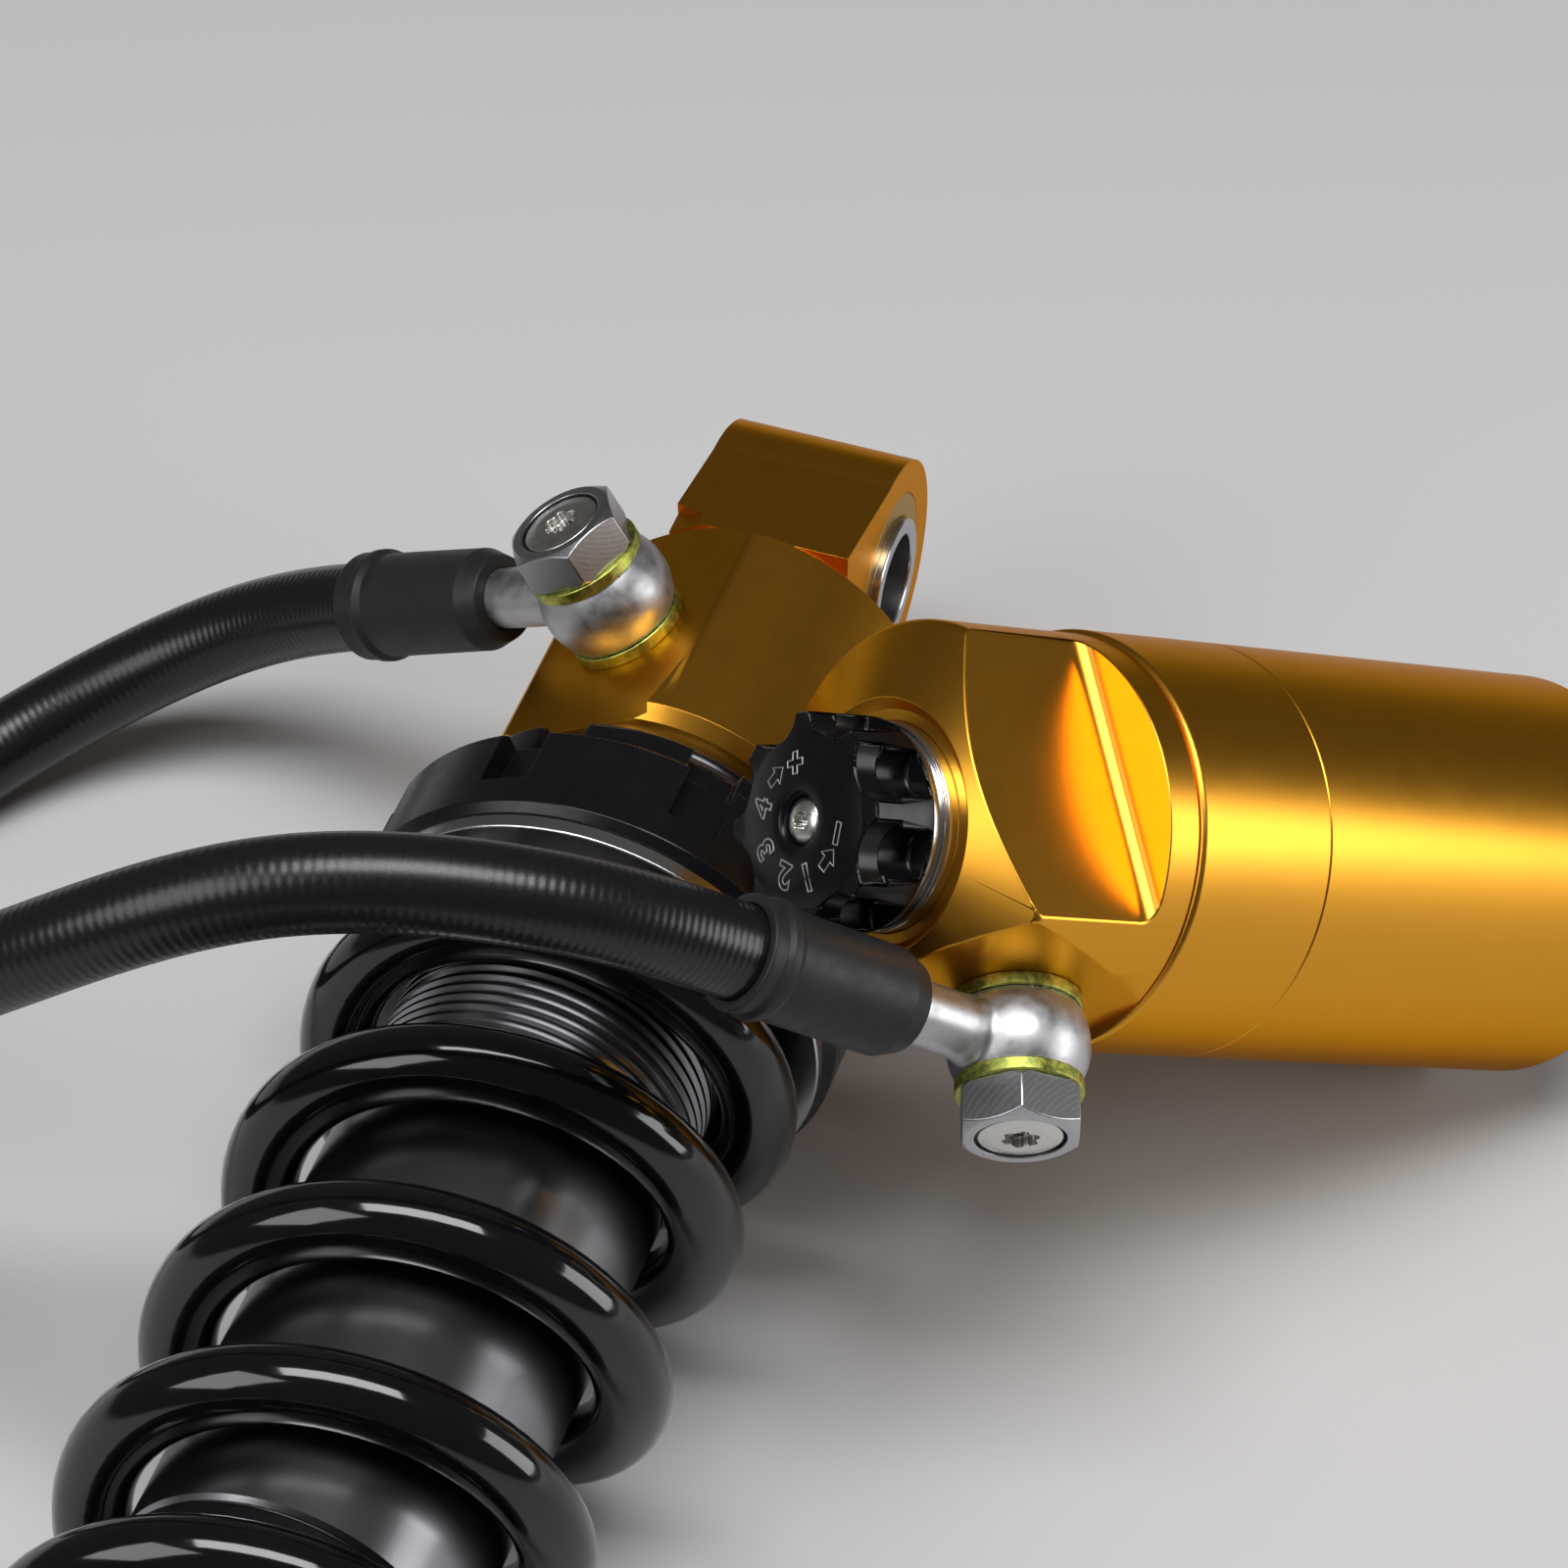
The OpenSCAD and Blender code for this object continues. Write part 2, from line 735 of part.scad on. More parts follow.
module reservoir_head() {
    far = 2 * res_head_r;
    color(GOLD)
        difference() {
            on_reservoir()
                difference() {
                    rotate_extrude()
                        polygon([
                            [0, -recess_d], [recess_r - recess_d, -recess_d], [recess_r, 0],
                            [res_head_r, -cone_len], [res_head_r, -res_head_len],
                            [res_bore_r, -res_head_len], [res_bore_r, -spigot_end],
                            [0, -spigot_end]
                        ]);
                    rotate([90, 0, flat_turn])
                        linear_extrude(height = far, center = true) flat_outline();
                    translate([0, 0, -ring_h - wall_min])
                        cylinder(r = ring_r, h = ring_h + wall_min + eps);
                    translate([0, 0, -adjuster_end]) cylinder(r = adjuster_r, h = adjuster_end);
                    translate([0, 0, -spigot_end - eps])
                        cylinder(r = cavity_r, h = spigot_end);
                    seal_groove(head_seal_t);
                }
            on_reservoir_port() {
                translate([-far / 2, -far / 2, 0]) cube([far, far, far]);
                translate([0, 0, -bolt_depth - 4]) cylinder(r = bolt_r, h = bolt_depth + 4 + eps);
            }
        }
}

module reservoir_collar() {
    color(GOLD)
        on_reservoir()
            rotate_extrude()
                polygon([
                    [res_bore_r, -res_head_len], [res_r - collar_edge, -res_head_len],
                    [res_r, -res_head_len - collar_edge], [res_r, -tube_top], [lap_r, -tube_top],
                    [lap_r, -tube_top + tube_lap],
                    [res_bore_r, -tube_top + tube_lap]
                ]);
}

module reservoir_tube() {
    groove_z = -cap_top - cap_t;
    color(GOLD)
        on_reservoir()
            difference() {
                rotate_extrude()
                    polygon([
                        [res_bore_r, -tube_top + tube_lap], [lap_r, -tube_top + tube_lap],
                        [lap_r, -tube_top], [res_r, -tube_top], [res_r, -res_len + 0.8],
                        [res_r - 0.8, -res_len], [res_bore_r, -res_len]
                    ]);
                ring(res_bore_r - eps, res_bore_r + 1, groove_z - clip_t, groove_z);
            }
}

module head_seal() {
    color(RUBBER) on_reservoir() o_ring(res_bore_r - oring_r, -head_seal_t);
}

module floating_piston() {
    cup_r = res_bore_r - 5;
    color(STEEL)
        on_reservoir()
            difference() {
                translate([0, 0, -gas_piston_t - gas_piston_h])
                    cylinder(r = res_bore_r - ring_fit, h = gas_piston_h);
                translate([0, 0, -gas_piston_t - gas_piston_h - eps])
                    cylinder(r = cup_r, h = gas_piston_h - 4);
                seal_groove(gas_seal_t);
                ring(res_bore_r - band_w, res_bore_r + 1, -gas_band_t - gas_band_len, -gas_band_t);
            }
}

module piston_seal() {
    color(RUBBER)
        on_reservoir() o_ring(res_bore_r - oring_r - ring_fit, -gas_seal_t);
}

module piston_band() {
    color(BRONZE)
        on_reservoir()
            ring(res_bore_r - band_w, res_bore_r - band_gap,
                 -gas_band_t - gas_band_len, -gas_band_t);
}

module end_cap() {
    color(BLACK)
        on_reservoir()
            difference() {
                translate([0, 0, -cap_top - cap_t]) cylinder(r = res_bore_r, h = cap_t);
                translate([0, 0, -cap_top - cap_t - eps])
                    cylinder(r = valve_hole_r, h = cap_t + 2 * eps);
                seal_groove(cap_seal_t);
            }
}

module end_cap_seal() {
    color(RUBBER) on_reservoir() o_ring(res_bore_r - oring_r, -cap_seal_t);
}

module end_circlip() {
    z = -cap_top - cap_t - clip_t;
    color(STEEL)
        on_reservoir()
            difference() {
                ring(res_bore_r - 1.5, res_bore_r + 1, z, z + clip_t);
                translate([0, -4, z - eps]) cube([2 * res_r, 8, clip_t + 2 * eps]);
            }
}

valve_r = 3.85;
valve_len = 11;
valve_hex_h = 3;
valve_hex_af = 10;
valve_hole_r = 4;

module gas_valve() {
    hex_z = -cap_top - cap_t;
    color(STEEL)
        on_reservoir() {
            translate([0, 0, hex_z]) cylinder(r = valve_hole_r, h = cap_t);
            translate([0, 0, hex_z - valve_hex_h])
                cylinder(d = valve_hex_af / cos(30), h = valve_hex_h, $fn = 6);
            translate([0, 0, hex_z - valve_len]) cylinder(r = valve_r, h = valve_len);
        }
}

module valve_cap() {
    cap_h = 9;
    z1 = -cap_top - cap_t - valve_hex_h - 1;
    color(BLACK)
        on_reservoir()
            difference() {
                bar(5, z1 - cap_h, z1, 0.8);
                translate([0, 0, z1 - cap_h + 2]) cylinder(r = valve_r, h = cap_h);
                for (i = [0 : 11])
                    rotate([0, 0, 30 * i])
                        translate([5.3, 0, z1 - cap_h - eps])
                            cylinder(r = 0.7, h = cap_h + 2 * eps, $fn = 24);
            }
}

// ---- Compression adjuster ----

hub_end = -1.9;
hub_gap = 0.15;
ring_gap = 0.2;
ring_lip = 0.9;
screw_r = 2.6;
screw_sink = 1.2;
shank_r = 1.5;
shank_h = 4.5;
flange_h = 0.6;
flute_taper = 0.9;

module adjuster_ring() {
    neck_r = ring_r - 0.4;
    color(STEEL)
        on_reservoir()
            difference() {
                union() {
                    bar(ring_r, -ring_h, ring_lip, 0.2);
                    bar(neck_r, 0, knob_base - ring_gap, 0.2);
                }
                translate([0, 0, -ring_h - eps])
                    cylinder(r = hub_bore_r + hub_gap, h = ring_h + knob_base + eps);
            }
}

module adjuster_body() {
    color(STEEL)
        on_reservoir()
            difference() {
                union() {
                    translate([0, 0, -ring_h - wall_min]) cylinder(r = ring_r, h = wall_min);
                    translate([0, 0, -adjuster_end])
                        cylinder(r = adjuster_r, h = adjuster_end - ring_h);
                }
                translate([0, 0, -adjuster_end - eps])
                    cylinder(r = needle_r + running_fit, h = adjuster_end + eps);
                for (s = [-1, 1]) translate([6 * s, 0, -ring_h]) sphere(r = 1.2);
            }
}

module detent_balls() {
    color(STEEL)
        on_reservoir() for (s = [-1, 1]) translate([6 * s, 0, -ring_h]) sphere(r = 1.2);
}

module adjuster_needle() {
    color(STEEL)
        on_reservoir()
            rotate_extrude()
                polygon([
                    [0, -adjuster_end - 7], [needle_r - 1.4, -adjuster_end - 5],
                    [needle_r, -adjuster_end - 1], [needle_r, knob_h - shank_h],
                    [0, knob_h - shank_h]
                ]);
}

module comp_knob() {
    rim_z = knob_h - rim_t;
    dome_r = knob_r * 0.8;
    recess_r = screw_r + 0.3;
    color(BLACK)
        on_reservoir()
            difference() {
                rotate_extrude()
                    polygon([
                        [0, hub_end], [hub_bore_r, hub_end], [hub_bore_r, knob_base],
                        [knob_r - 0.4, knob_base], [knob_r, knob_base + 0.4],
                        [knob_r, knob_h - 0.3], [knob_r - 0.3, knob_h], [dome_r, knob_h],
                        [dome_r - 1, knob_h + dome_h * 0.6], [dome_r - 3.5, knob_h + dome_h],
                        [recess_r, knob_h + dome_h], [recess_r, knob_h - screw_sink],
                        [0, knob_h - screw_sink]
                    ]);
                for (i = [0 : lobes - 1])
                    rotate([0, 0, (i + 0.5) * 360 / lobes]) {
                        translate([knob_r + scallop_r - scallop_depth, 0, rim_z])
                            cylinder(r = scallop_r, h = rim_t + dome_h + eps);
                        translate([knob_r + flute_r - flute_depth, 0, knob_base + flange_h]) {
                            cylinder(r = flute_r, h = rim_z - flute_taper - knob_base - flange_h);
                            translate([0, 0, rim_z - flute_taper - knob_base - flange_h])
                                cylinder(r1 = flute_r, r2 = flute_r * 0.7, h = flute_taper + eps);
                        }
                    }
                translate([0, 0, hub_end - eps])
                    cylinder(r = needle_r, h = knob_h - shank_h - hub_end + eps);
                translate([0, 0, knob_h - shank_h - eps]) cylinder(r = shank_r, h = shank_h);
            }
}

module knob_screw() {
    color(STEEL)
        on_reservoir()
            difference() {
                union() {
                    translate([0, 0, knob_h - shank_h])
                        cylinder(r = shank_r, h = shank_h - screw_sink);
                    rotate_extrude()
                        polygon([
                            [0, knob_h - screw_sink], [screw_r, knob_h - screw_sink],
                            [screw_r, knob_h - 0.4], [screw_r * 0.87, knob_h + 0.1],
                            [screw_r * 0.55, knob_h + 0.45], [0, knob_h + 0.55]
                        ]);
                }
                translate([0, 0, knob_h - 0.9]) cylinder(r = 1.1, h = 2, $fn = 6);
            }
}

// ---- Hose fittings: one set at the reservoir, one at the shock's head ----

module washers_at_port() {
    color(ZINC) {
        ring(bolt_r + bolt_fit, washer_r, 0, washer_t);
        ring(bolt_r + bolt_fit, washer_r, washer_t + banjo_h, stack_h);
    }
}

module banjo_at_port() {
    color(STEEL)
        translate([0, 0, eye_mid])
            difference() {
                union() {
                    intersection() {
                        sphere(r = banjo_r);
                        cube([3 * banjo_r, 3 * banjo_r, banjo_h], center = true);
                    }
                    rotate([0, 90, 0]) cylinder(r = neck_r, h = neck_len + 2);
                    rotate([0, 90, 0]) cylinder(r = 2, h = neck_len + cover_len - 4);
                }
                cylinder(r = bolt_r + bolt_fit, h = 2 * banjo_h, center = true);
            }
}

module bolt_at_port() {
    color(STEEL)
        difference() {
            union() {
                translate([0, 0, -bolt_depth]) cylinder(r = bolt_r, h = bolt_depth + stack_h);
                intersection() {
                    translate([0, 0, stack_h])
                        rotate([0, 0, -21]) cylinder(d = hex_af / cos(30), h = hex_h, $fn = 6);
                    translate([0, 0, stack_h])
                        rotate_extrude()
                            polygon([
                                [0, 0], [hex_af, 0], [hex_af, hex_h * 0.33],
                                [hex_af / 2, hex_h], [0, hex_h]
                            ]);
                }
            }
            translate([0, 0, -bolt_depth - eps]) cylinder(r = 2, h = bolt_depth + stack_h);
            translate([0, 0, eye_mid])
                rotate([0, 90, 0]) cylinder(r = 1.5, h = 3 * bolt_r, center = true, $fn = 32);
            translate([0, 0, stack_h + hex_h - plug_t]) cylinder(r = plug_r, h = plug_t + eps);
        }
}

module plug_at_port() {
    top = stack_h + hex_h;
    color(STEEL)
        difference() {
            bar(plug_r, top - plug_t, top, 0.3);
            translate([0, 0, top - 1.1]) cylinder(r = 1.9, h = 2, $fn = 6);
        }
}

module ferrule_at_port() {
    color(STEEL)
        translate([0, 0, eye_mid])
            rotate([0, 90, 0])
                difference() {
                    translate([0, 0, neck_len + 2]) cylinder(r = ferrule_r, h = cover_len - 4);
                    translate([0, 0, neck_len]) cylinder(r = 2, h = cover_len);
                }
}

module cover_at_port() {
    lip = neck_len + cover_len;
    color(RUBBER)
        translate([0, 0, eye_mid])
            rotate([0, 90, 0])
                difference() {
                    rotate_extrude()
                        polygon([
                            [0, neck_len], [cover_r - 1.1, neck_len], [cover_r - 0.5, neck_len + 1.6],
                            [cover_r - 0.1, neck_len + 2.6],
                            [cover_r, lip - 4], [cover_r + 0.5, lip - 3.4],
                            [cover_r + 0.5, lip - 2.4], [cover_r + 0.1, lip - 2],
                            [cover_r + 0.3, lip], [0, lip]
                        ]);
                    translate([0, 0, neck_len - eps]) cylinder(r = neck_r, h = 3);
                    translate([0, 0, neck_len + 2]) cylinder(r = ferrule_r, h = cover_len - 4);
                    translate([0, 0, lip - 3]) cylinder(r = hose_r, h = 3 + eps);
                }
}

module reservoir_washers() { on_reservoir_port() washers_at_port(); }
module reservoir_banjo() { on_reservoir_port() banjo_at_port(); }
module reservoir_bolt() { on_reservoir_port() bolt_at_port(); }
module reservoir_plug() { on_reservoir_port() plug_at_port(); }
module reservoir_ferrule() { on_reservoir_port() ferrule_at_port(); }
module reservoir_cover() { on_reservoir_port() cover_at_port(); }
module shock_washers() { on_shock_port() washers_at_port(); }
module shock_banjo() { on_shock_port() banjo_at_port(); }
module shock_bolt() { on_shock_port() bolt_at_port(); }
module shock_plug() { on_shock_port() plug_at_port(); }
module shock_ferrule() { on_shock_port() ferrule_at_port(); }
module shock_cover() { on_shock_port() cover_at_port(); }

// ---- Hose ----

// Turns a vector by OpenSCAD's rotate([x, y, z])
function turn_x(v, a) = [v[0], v[1] * cos(a) - v[2] * sin(a), v[1] * sin(a) + v[2] * cos(a)];
function turn_y(v, a) = [v[0] * cos(a) + v[2] * sin(a), v[1], v[2] * cos(a) - v[0] * sin(a)];
function turn_z(v, a) = [v[0] * cos(a) - v[1] * sin(a), v[0] * sin(a) + v[1] * cos(a), v[2]];
function turned(v, a) = turn_z(turn_y(turn_x(v, a[0]), a[1]), a[2]);

// Where a point on a port's frame lies on the whole part
function from_reservoir_port(p) =
    ring_centre
    + turned([0, 0, -res_port_t]
             + turned([0, 0, res_seat_d] + turn_z(p, 180), [0, 90 - res_port_lean, res_port_turn]),
             [0, 90 - res_tilt, res_heading - 180]);
function from_shock_port(p) =
    [0, -port_s, 0] + turned([0, 0, port_seat_d] + turn_z(p, port_turn), [0, -port_lean, 0]);

// The points that draw the hose: each end's own three lie along its sleeve
mouth = neck_len + cover_len - hose_grip;
hose_ends = [
    for (d = [-hose_pull, 0, hose_pull])
        [from_reservoir_port([mouth + d, 0, eye_mid]), from_shock_port([mouth - d, 0, eye_mid])]
];
hose_bend_count = len(hose_bends);
hose_points = concat(
    [for (e = hose_ends) e[0]],
    [for (i = [0 : hose_bend_count - 1])
        let (f = (i + 1) / (hose_bend_count + 1))
        (1 - f) * from_reservoir_port([mouth + hose_grip, 0, eye_mid])
        + f * from_shock_port([mouth + hose_grip, 0, eye_mid])
        + hose_bends[i]],
    [for (e = hose_ends) e[1]]
);

// Point on the smooth curve that four points in a row draw
function curve_point(p, i, u) =
    (pow(1 - u, 3) * p[i] + (3 * pow(u, 3) - 6 * u * u + 4) * p[i + 1]
     + (-3 * pow(u, 3) + 3 * u * u + 3 * u + 1) * p[i + 2] + pow(u, 3) * p[i + 3]) / 6;

hose_steps = 3;
hose_path = [
    for (k = [0 : hose_steps * (len(hose_points) - 3)])
        let (i = min(floor(k / hose_steps), len(hose_points) - 4))
        curve_point(hose_points, i, k / hose_steps - i)
];

function unit(v) = v / norm(v);

// One ring of points round the hose at its path's point i
function hose_ring(path, i) =
    let (
        last = len(path) - 1,
        along = unit(path[min(i + 1, last)] - path[max(i - 1, 0)]),
        side = unit(cross(along, [0, 0, 1])),
        up = cross(side, along)
    )
    [for (k = [0 : hose_sides - 1])
        let (a = 360 * k / hose_sides)
        path[i] + hose_r * (cos(a) * side + sin(a) * up)];

module hose() {
    color(RUBBER)
        polyhedron(
            points = [for (i = [0 : len(hose_path) - 1]) each hose_ring(hose_path, i)],
            faces = tube_faces(len(hose_path), hose_sides)
        );
}

shock_head();
upper_bush();
upper_sleeve();
body_tube();
seal_head();
rod_seal();
rod_wiper();
lock_ring();
preload_collar();
thrust_washer();
spring();
lower_seat();
seat_clip();
rod();
piston();
piston_ring();
shims();
piston_nut();
topout_bumper();
bump_stop();
bump_washer();
lower_mount();
lower_bush();
lower_sleeve();
rebound_wheel();
reservoir_head();
reservoir_collar();
reservoir_tube();
head_seal();
floating_piston();
piston_seal();
piston_band();
end_cap();
end_cap_seal();
end_circlip();
gas_valve();
valve_cap();
adjuster_ring();
adjuster_body();
adjuster_needle();
detent_balls();
comp_knob();
knob_screw();
reservoir_banjo();
reservoir_bolt();
reservoir_plug();
reservoir_washers();
reservoir_ferrule();
reservoir_cover();
shock_banjo();
shock_bolt();
shock_plug();
shock_washers();
shock_ferrule();
shock_cover();
hose();
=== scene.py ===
# %% [markdown]
# # A coil-over shock absorber with a remote gas reservoir
# The shock lies on its preload collar and lower spring seat, and its reservoir leans beside the
# collar. A short hydraulic hose joins the two. The construction comes ready made: this lesson gives
# each visible part its finish, and models the pieces whose look needs more than plain solids.

# %% Load the fixed frame
import json
import math

import bmesh
import bpy
from mathutils import Matrix, Vector

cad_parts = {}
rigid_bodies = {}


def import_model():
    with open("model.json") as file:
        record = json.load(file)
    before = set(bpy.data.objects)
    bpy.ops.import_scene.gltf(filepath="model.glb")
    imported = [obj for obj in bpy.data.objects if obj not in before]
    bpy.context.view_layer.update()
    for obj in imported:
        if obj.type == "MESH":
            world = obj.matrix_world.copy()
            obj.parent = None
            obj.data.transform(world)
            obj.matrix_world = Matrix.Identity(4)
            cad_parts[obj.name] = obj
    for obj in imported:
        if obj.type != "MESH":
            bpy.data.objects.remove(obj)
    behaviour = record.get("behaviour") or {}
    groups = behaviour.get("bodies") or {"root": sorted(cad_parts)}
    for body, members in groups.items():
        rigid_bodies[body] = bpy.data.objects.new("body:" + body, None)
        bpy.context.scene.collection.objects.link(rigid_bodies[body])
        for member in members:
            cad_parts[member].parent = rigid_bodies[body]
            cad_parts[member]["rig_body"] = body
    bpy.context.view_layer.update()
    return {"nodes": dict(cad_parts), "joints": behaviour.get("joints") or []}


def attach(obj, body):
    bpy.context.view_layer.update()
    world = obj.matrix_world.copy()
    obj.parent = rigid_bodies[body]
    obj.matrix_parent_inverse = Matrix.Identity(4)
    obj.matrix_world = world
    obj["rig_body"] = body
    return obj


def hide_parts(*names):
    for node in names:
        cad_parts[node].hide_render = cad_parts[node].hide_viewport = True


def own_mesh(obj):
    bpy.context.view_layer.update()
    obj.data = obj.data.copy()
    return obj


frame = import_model()
nodes = frame["nodes"]
joints = {joint["name"]: joint for joint in frame["joints"]}

# %% [markdown]
# ## Places
# Three local frames carry nearly everything. The shock's frame runs down its axis, the reservoir's
# frame points out of its knob, and each hose port has a frame on its banjo bolt. They are worked
# out from the joints, so that each new piece lands on the part that it belongs to.

# %% Local frames
MM = 0.001
FULL_TURN = math.tau


def turn(axis, degrees):
    """A turn about one axis, as a 4x4 matrix."""
    return Matrix.Rotation(math.radians(degrees), 4, axis)


def shift(x, y, z):
    """A move in millimetres, as a 4x4 matrix in metres."""
    return Matrix.Translation(Vector((x, y, z)) * MM)


knob_axis = Vector(joints["comp_turn"]["axis"]).normalized()
ring_centre = Vector(joints["comp_turn"]["pos_m"])
slope = math.degrees(math.asin(knob_axis.z))
heading = math.degrees(math.atan2(knob_axis.y, knob_axis.x))

# Each port: how far along its part it sits, and how far from the part's axis its seat is
RES_PORT_ALONG = 19.4
RES_SEAT_OUT = 19.3
RES_PORT_TURN = 60.3
RES_PORT_LEAN = 13.8
SHOCK_PORT_ALONG = 33
SHOCK_SEAT_OUT = 19
SHOCK_PORT_LEAN = 30
SHOCK_PORT_TURN = 170

SHOCK = turn("X", 90)
RESERVOIR = Matrix.Translation(ring_centre) @ turn("Z", heading) @ turn("Y", 90 - slope)
RESERVOIR_PORT = (
    RESERVOIR @ shift(0, 0, -RES_PORT_ALONG) @ turn("Z", RES_PORT_TURN)
    @ turn("Y", 90 - RES_PORT_LEAN) @ shift(0, 0, RES_SEAT_OUT) @ turn("Z", 180)
)
SHOCK_PORT = (shift(0, -SHOCK_PORT_ALONG, 0) @ turn("Y", -SHOCK_PORT_LEAN)
              @ shift(0, 0, SHOCK_SEAT_OUT) @ turn("Z", SHOCK_PORT_TURN))
PORTS = {"reservoir": RESERVOIR_PORT, "shock": SHOCK_PORT}
SCALE = Matrix.Scale(MM, 4)
print("the reservoir slopes", round(slope, 1), "degrees")

# %% [markdown]
# ## Camera
# A long lens from far away keeps the cylinders' outlines nearly parallel.
# The camera looks down at the shock from its lower end.

# %% Camera
VIEW_AZIMUTH = 19
VIEW_ELEVATION = 46
LENS = 148.2
VIEW_DISTANCE = 0.6852
view_turn = turn("Z", VIEW_AZIMUTH) @ turn("X", 90 - VIEW_ELEVATION)
view_shift = view_turn @ Vector((-10.1 * MM, 4.5 * MM, VIEW_DISTANCE))

camera = bpy.data.objects.new("camera", bpy.data.cameras.new("camera"))
camera.matrix_world = Matrix.Translation(ring_centre + view_shift) @ view_turn
camera.data.lens = LENS
camera.data.sensor_width = 36
camera.data.clip_start = 0.01
bpy.context.collection.objects.link(camera)
bpy.context.scene.camera = camera
bpy.context.scene.view_settings.view_transform = "Standard"
print("camera at", [round(v, 3) for v in camera.matrix_world.translation])

# %% [markdown]
# ## Tools for the workbench
# Every new piece starts as a bmesh in millimetres, in one of the local frames. `make_piece` moves
# it to its place, in metres, and leaves its object at the origin. Corners sharper than the given
# angle stay crisp, and everything else is shaded smooth.

# %% Making a piece
SMOOTH_ANGLE = 32
FINE_ANGLE = 25
EDGE_STEPS = 2
SAME_POINT = 0.0005
CHIP = 0.004


def break_edges(piece, width):
    """Rounds a piece's sharp edges slightly, and shades its flat faces flat."""
    bevel = piece.modifiers.new("broken_edges", "BEVEL")
    bevel.width = width * MM
    bevel.segments = EDGE_STEPS
    bevel.limit_method = "ANGLE"
    bevel.angle_limit = math.radians(SMOOTH_ANGLE)
    bevel.use_clamp_overlap = False
    normals = piece.modifiers.new("flat_faces", "WEIGHTED_NORMAL")
    normals.keep_sharp = True


def make_piece(name, bm, place, material, body, stands_for=(), edge=0.0,
               crisp=SMOOTH_ANGLE):
    """Turns a bmesh in millimetres into a finished object that rides on a body."""
    bmesh.ops.remove_doubles(bm, verts=bm.verts, dist=SAME_POINT)
    bmesh.ops.recalc_face_normals(bm, faces=bm.faces)
    bmesh.ops.transform(bm, matrix=place @ SCALE, verts=bm.verts)
    mesh = bpy.data.meshes.new(name)
    bm.to_mesh(mesh)
    bm.free()
    mesh.shade_smooth()
    mesh.set_sharp_from_angle(angle=math.radians(crisp))
    mesh.materials.append(material)
    piece = bpy.data.objects.new(name, mesh)
    bpy.context.collection.objects.link(piece)
    if edge:
        break_edges(piece, edge)
    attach(piece, body)
    for node in stands_for:
        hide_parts(node)
    print(name, len(mesh.polygons), "faces")
    return piece


def spun(profile, steps=96, closed=False):
    """A bmesh made by turning a profile of (radius, height) points once round Z."""
    bm = bmesh.new()
    verts = [bm.verts.new((r, 0, z)) for r, z in profile]
    edges = [bm.edges.new(pair) for pair in zip(verts, verts[1:])]
    if closed:
        edges.append(bm.edges.new((verts[-1], verts[0])))
    bmesh.ops.spin(
        bm, geom=verts + edges, cent=(0, 0, 0), axis=(0, 0, 1), dvec=(0, 0, 0),
        angle=FULL_TURN, steps=steps, use_merge=True, use_duplicate=False,
    )
    bmesh.ops.remove_doubles(bm, verts=bm.verts, dist=SAME_POINT)
    return bm


def filleted(corners, steps=6):
    """An outline of (x, y, fillet radius) corners as points, with the corners rounded."""
    points = []
    for i, (x, y, fillet) in enumerate(corners):
        corner = Vector((x, y))
        if not fillet:
            points.append((x, y))
            continue
        before = (Vector(corners[i - 1][:2]) - corner).normalized()
        after = (Vector(corners[(i + 1) % len(corners)][:2]) - corner).normalized()
        half = before.angle(after) / 2
        centre = corner + (before + after).normalized() * (fillet / math.sin(half))
        reach = fillet / math.tan(half)
        first = (corner + before * reach - centre).normalized()
        last = (corner + after * reach - centre).normalized()
        points += [tuple(centre + first.slerp(last, k / steps).normalized() * fillet)
                   for k in range(steps + 1)]
    return points


def prism(outline, depth):
    """A bmesh of a flat outline, drawn out along Z on both sides of the XY plane."""
    bm = bmesh.new()
    face = bm.faces.new([bm.verts.new((x, y, -depth)) for x, y in outline])
    sweep = bmesh.ops.extrude_face_region(bm, geom=[face])
    far_side = [item for item in sweep["geom"] if isinstance(item, bmesh.types.BMVert)]
    bmesh.ops.translate(bm, verts=far_side, vec=(0, 0, 2 * depth))
    bmesh.ops.recalc_face_normals(bm, faces=bm.faces)
    return bm


def rod_bm(radius, low, high, sides=48, top_radius=None):
    """A bmesh of a round bar along Z, or of a cone where the top has its own radius."""
    bm = bmesh.new()
    bmesh.ops.create_cone(
        bm, cap_ends=True, segments=sides, radius1=radius,
        radius2=radius if top_radius is None else top_radius, depth=high - low,
        matrix=Matrix.Translation((0, 0, (low + high) / 2)),
    )
    return bm


def moved(bm, matrix):
    """The same bmesh in another place."""
    bmesh.ops.transform(bm, matrix=matrix, verts=bm.verts)
    return bm


def carved(bm, tools, operation="DIFFERENCE", finish=None):
    """Cuts other shapes from a bmesh, or joins them to it, with exact Booleans."""
    bench = []
    for shape in [bm, *tools]:
        bmesh.ops.recalc_face_normals(shape, faces=shape.faces)
        mesh = bpy.data.meshes.new("on_the_bench")
        shape.to_mesh(mesh)
        shape.free()
        item = bpy.data.objects.new("on_the_bench", mesh)
        bpy.context.collection.objects.link(item)
        bench.append(item)
    work = bench[0]
    for tool in bench[1:]:
        cut = work.modifiers.new("cut", "BOOLEAN")
        cut.object = tool
        cut.operation = operation
        cut.solver = "EXACT"
    if finish:
        finish(work)
    graph = bpy.context.evaluated_depsgraph_get()
    result = bmesh.new()
    result.from_mesh(work.evaluated_get(graph).to_mesh())
    for item in bench:
        bpy.data.objects.remove(item)
    bmesh.ops.remove_doubles(result, verts=result.verts, dist=CHIP)
    bmesh.ops.dissolve_degenerate(result, edges=result.edges, dist=CHIP)
    return result


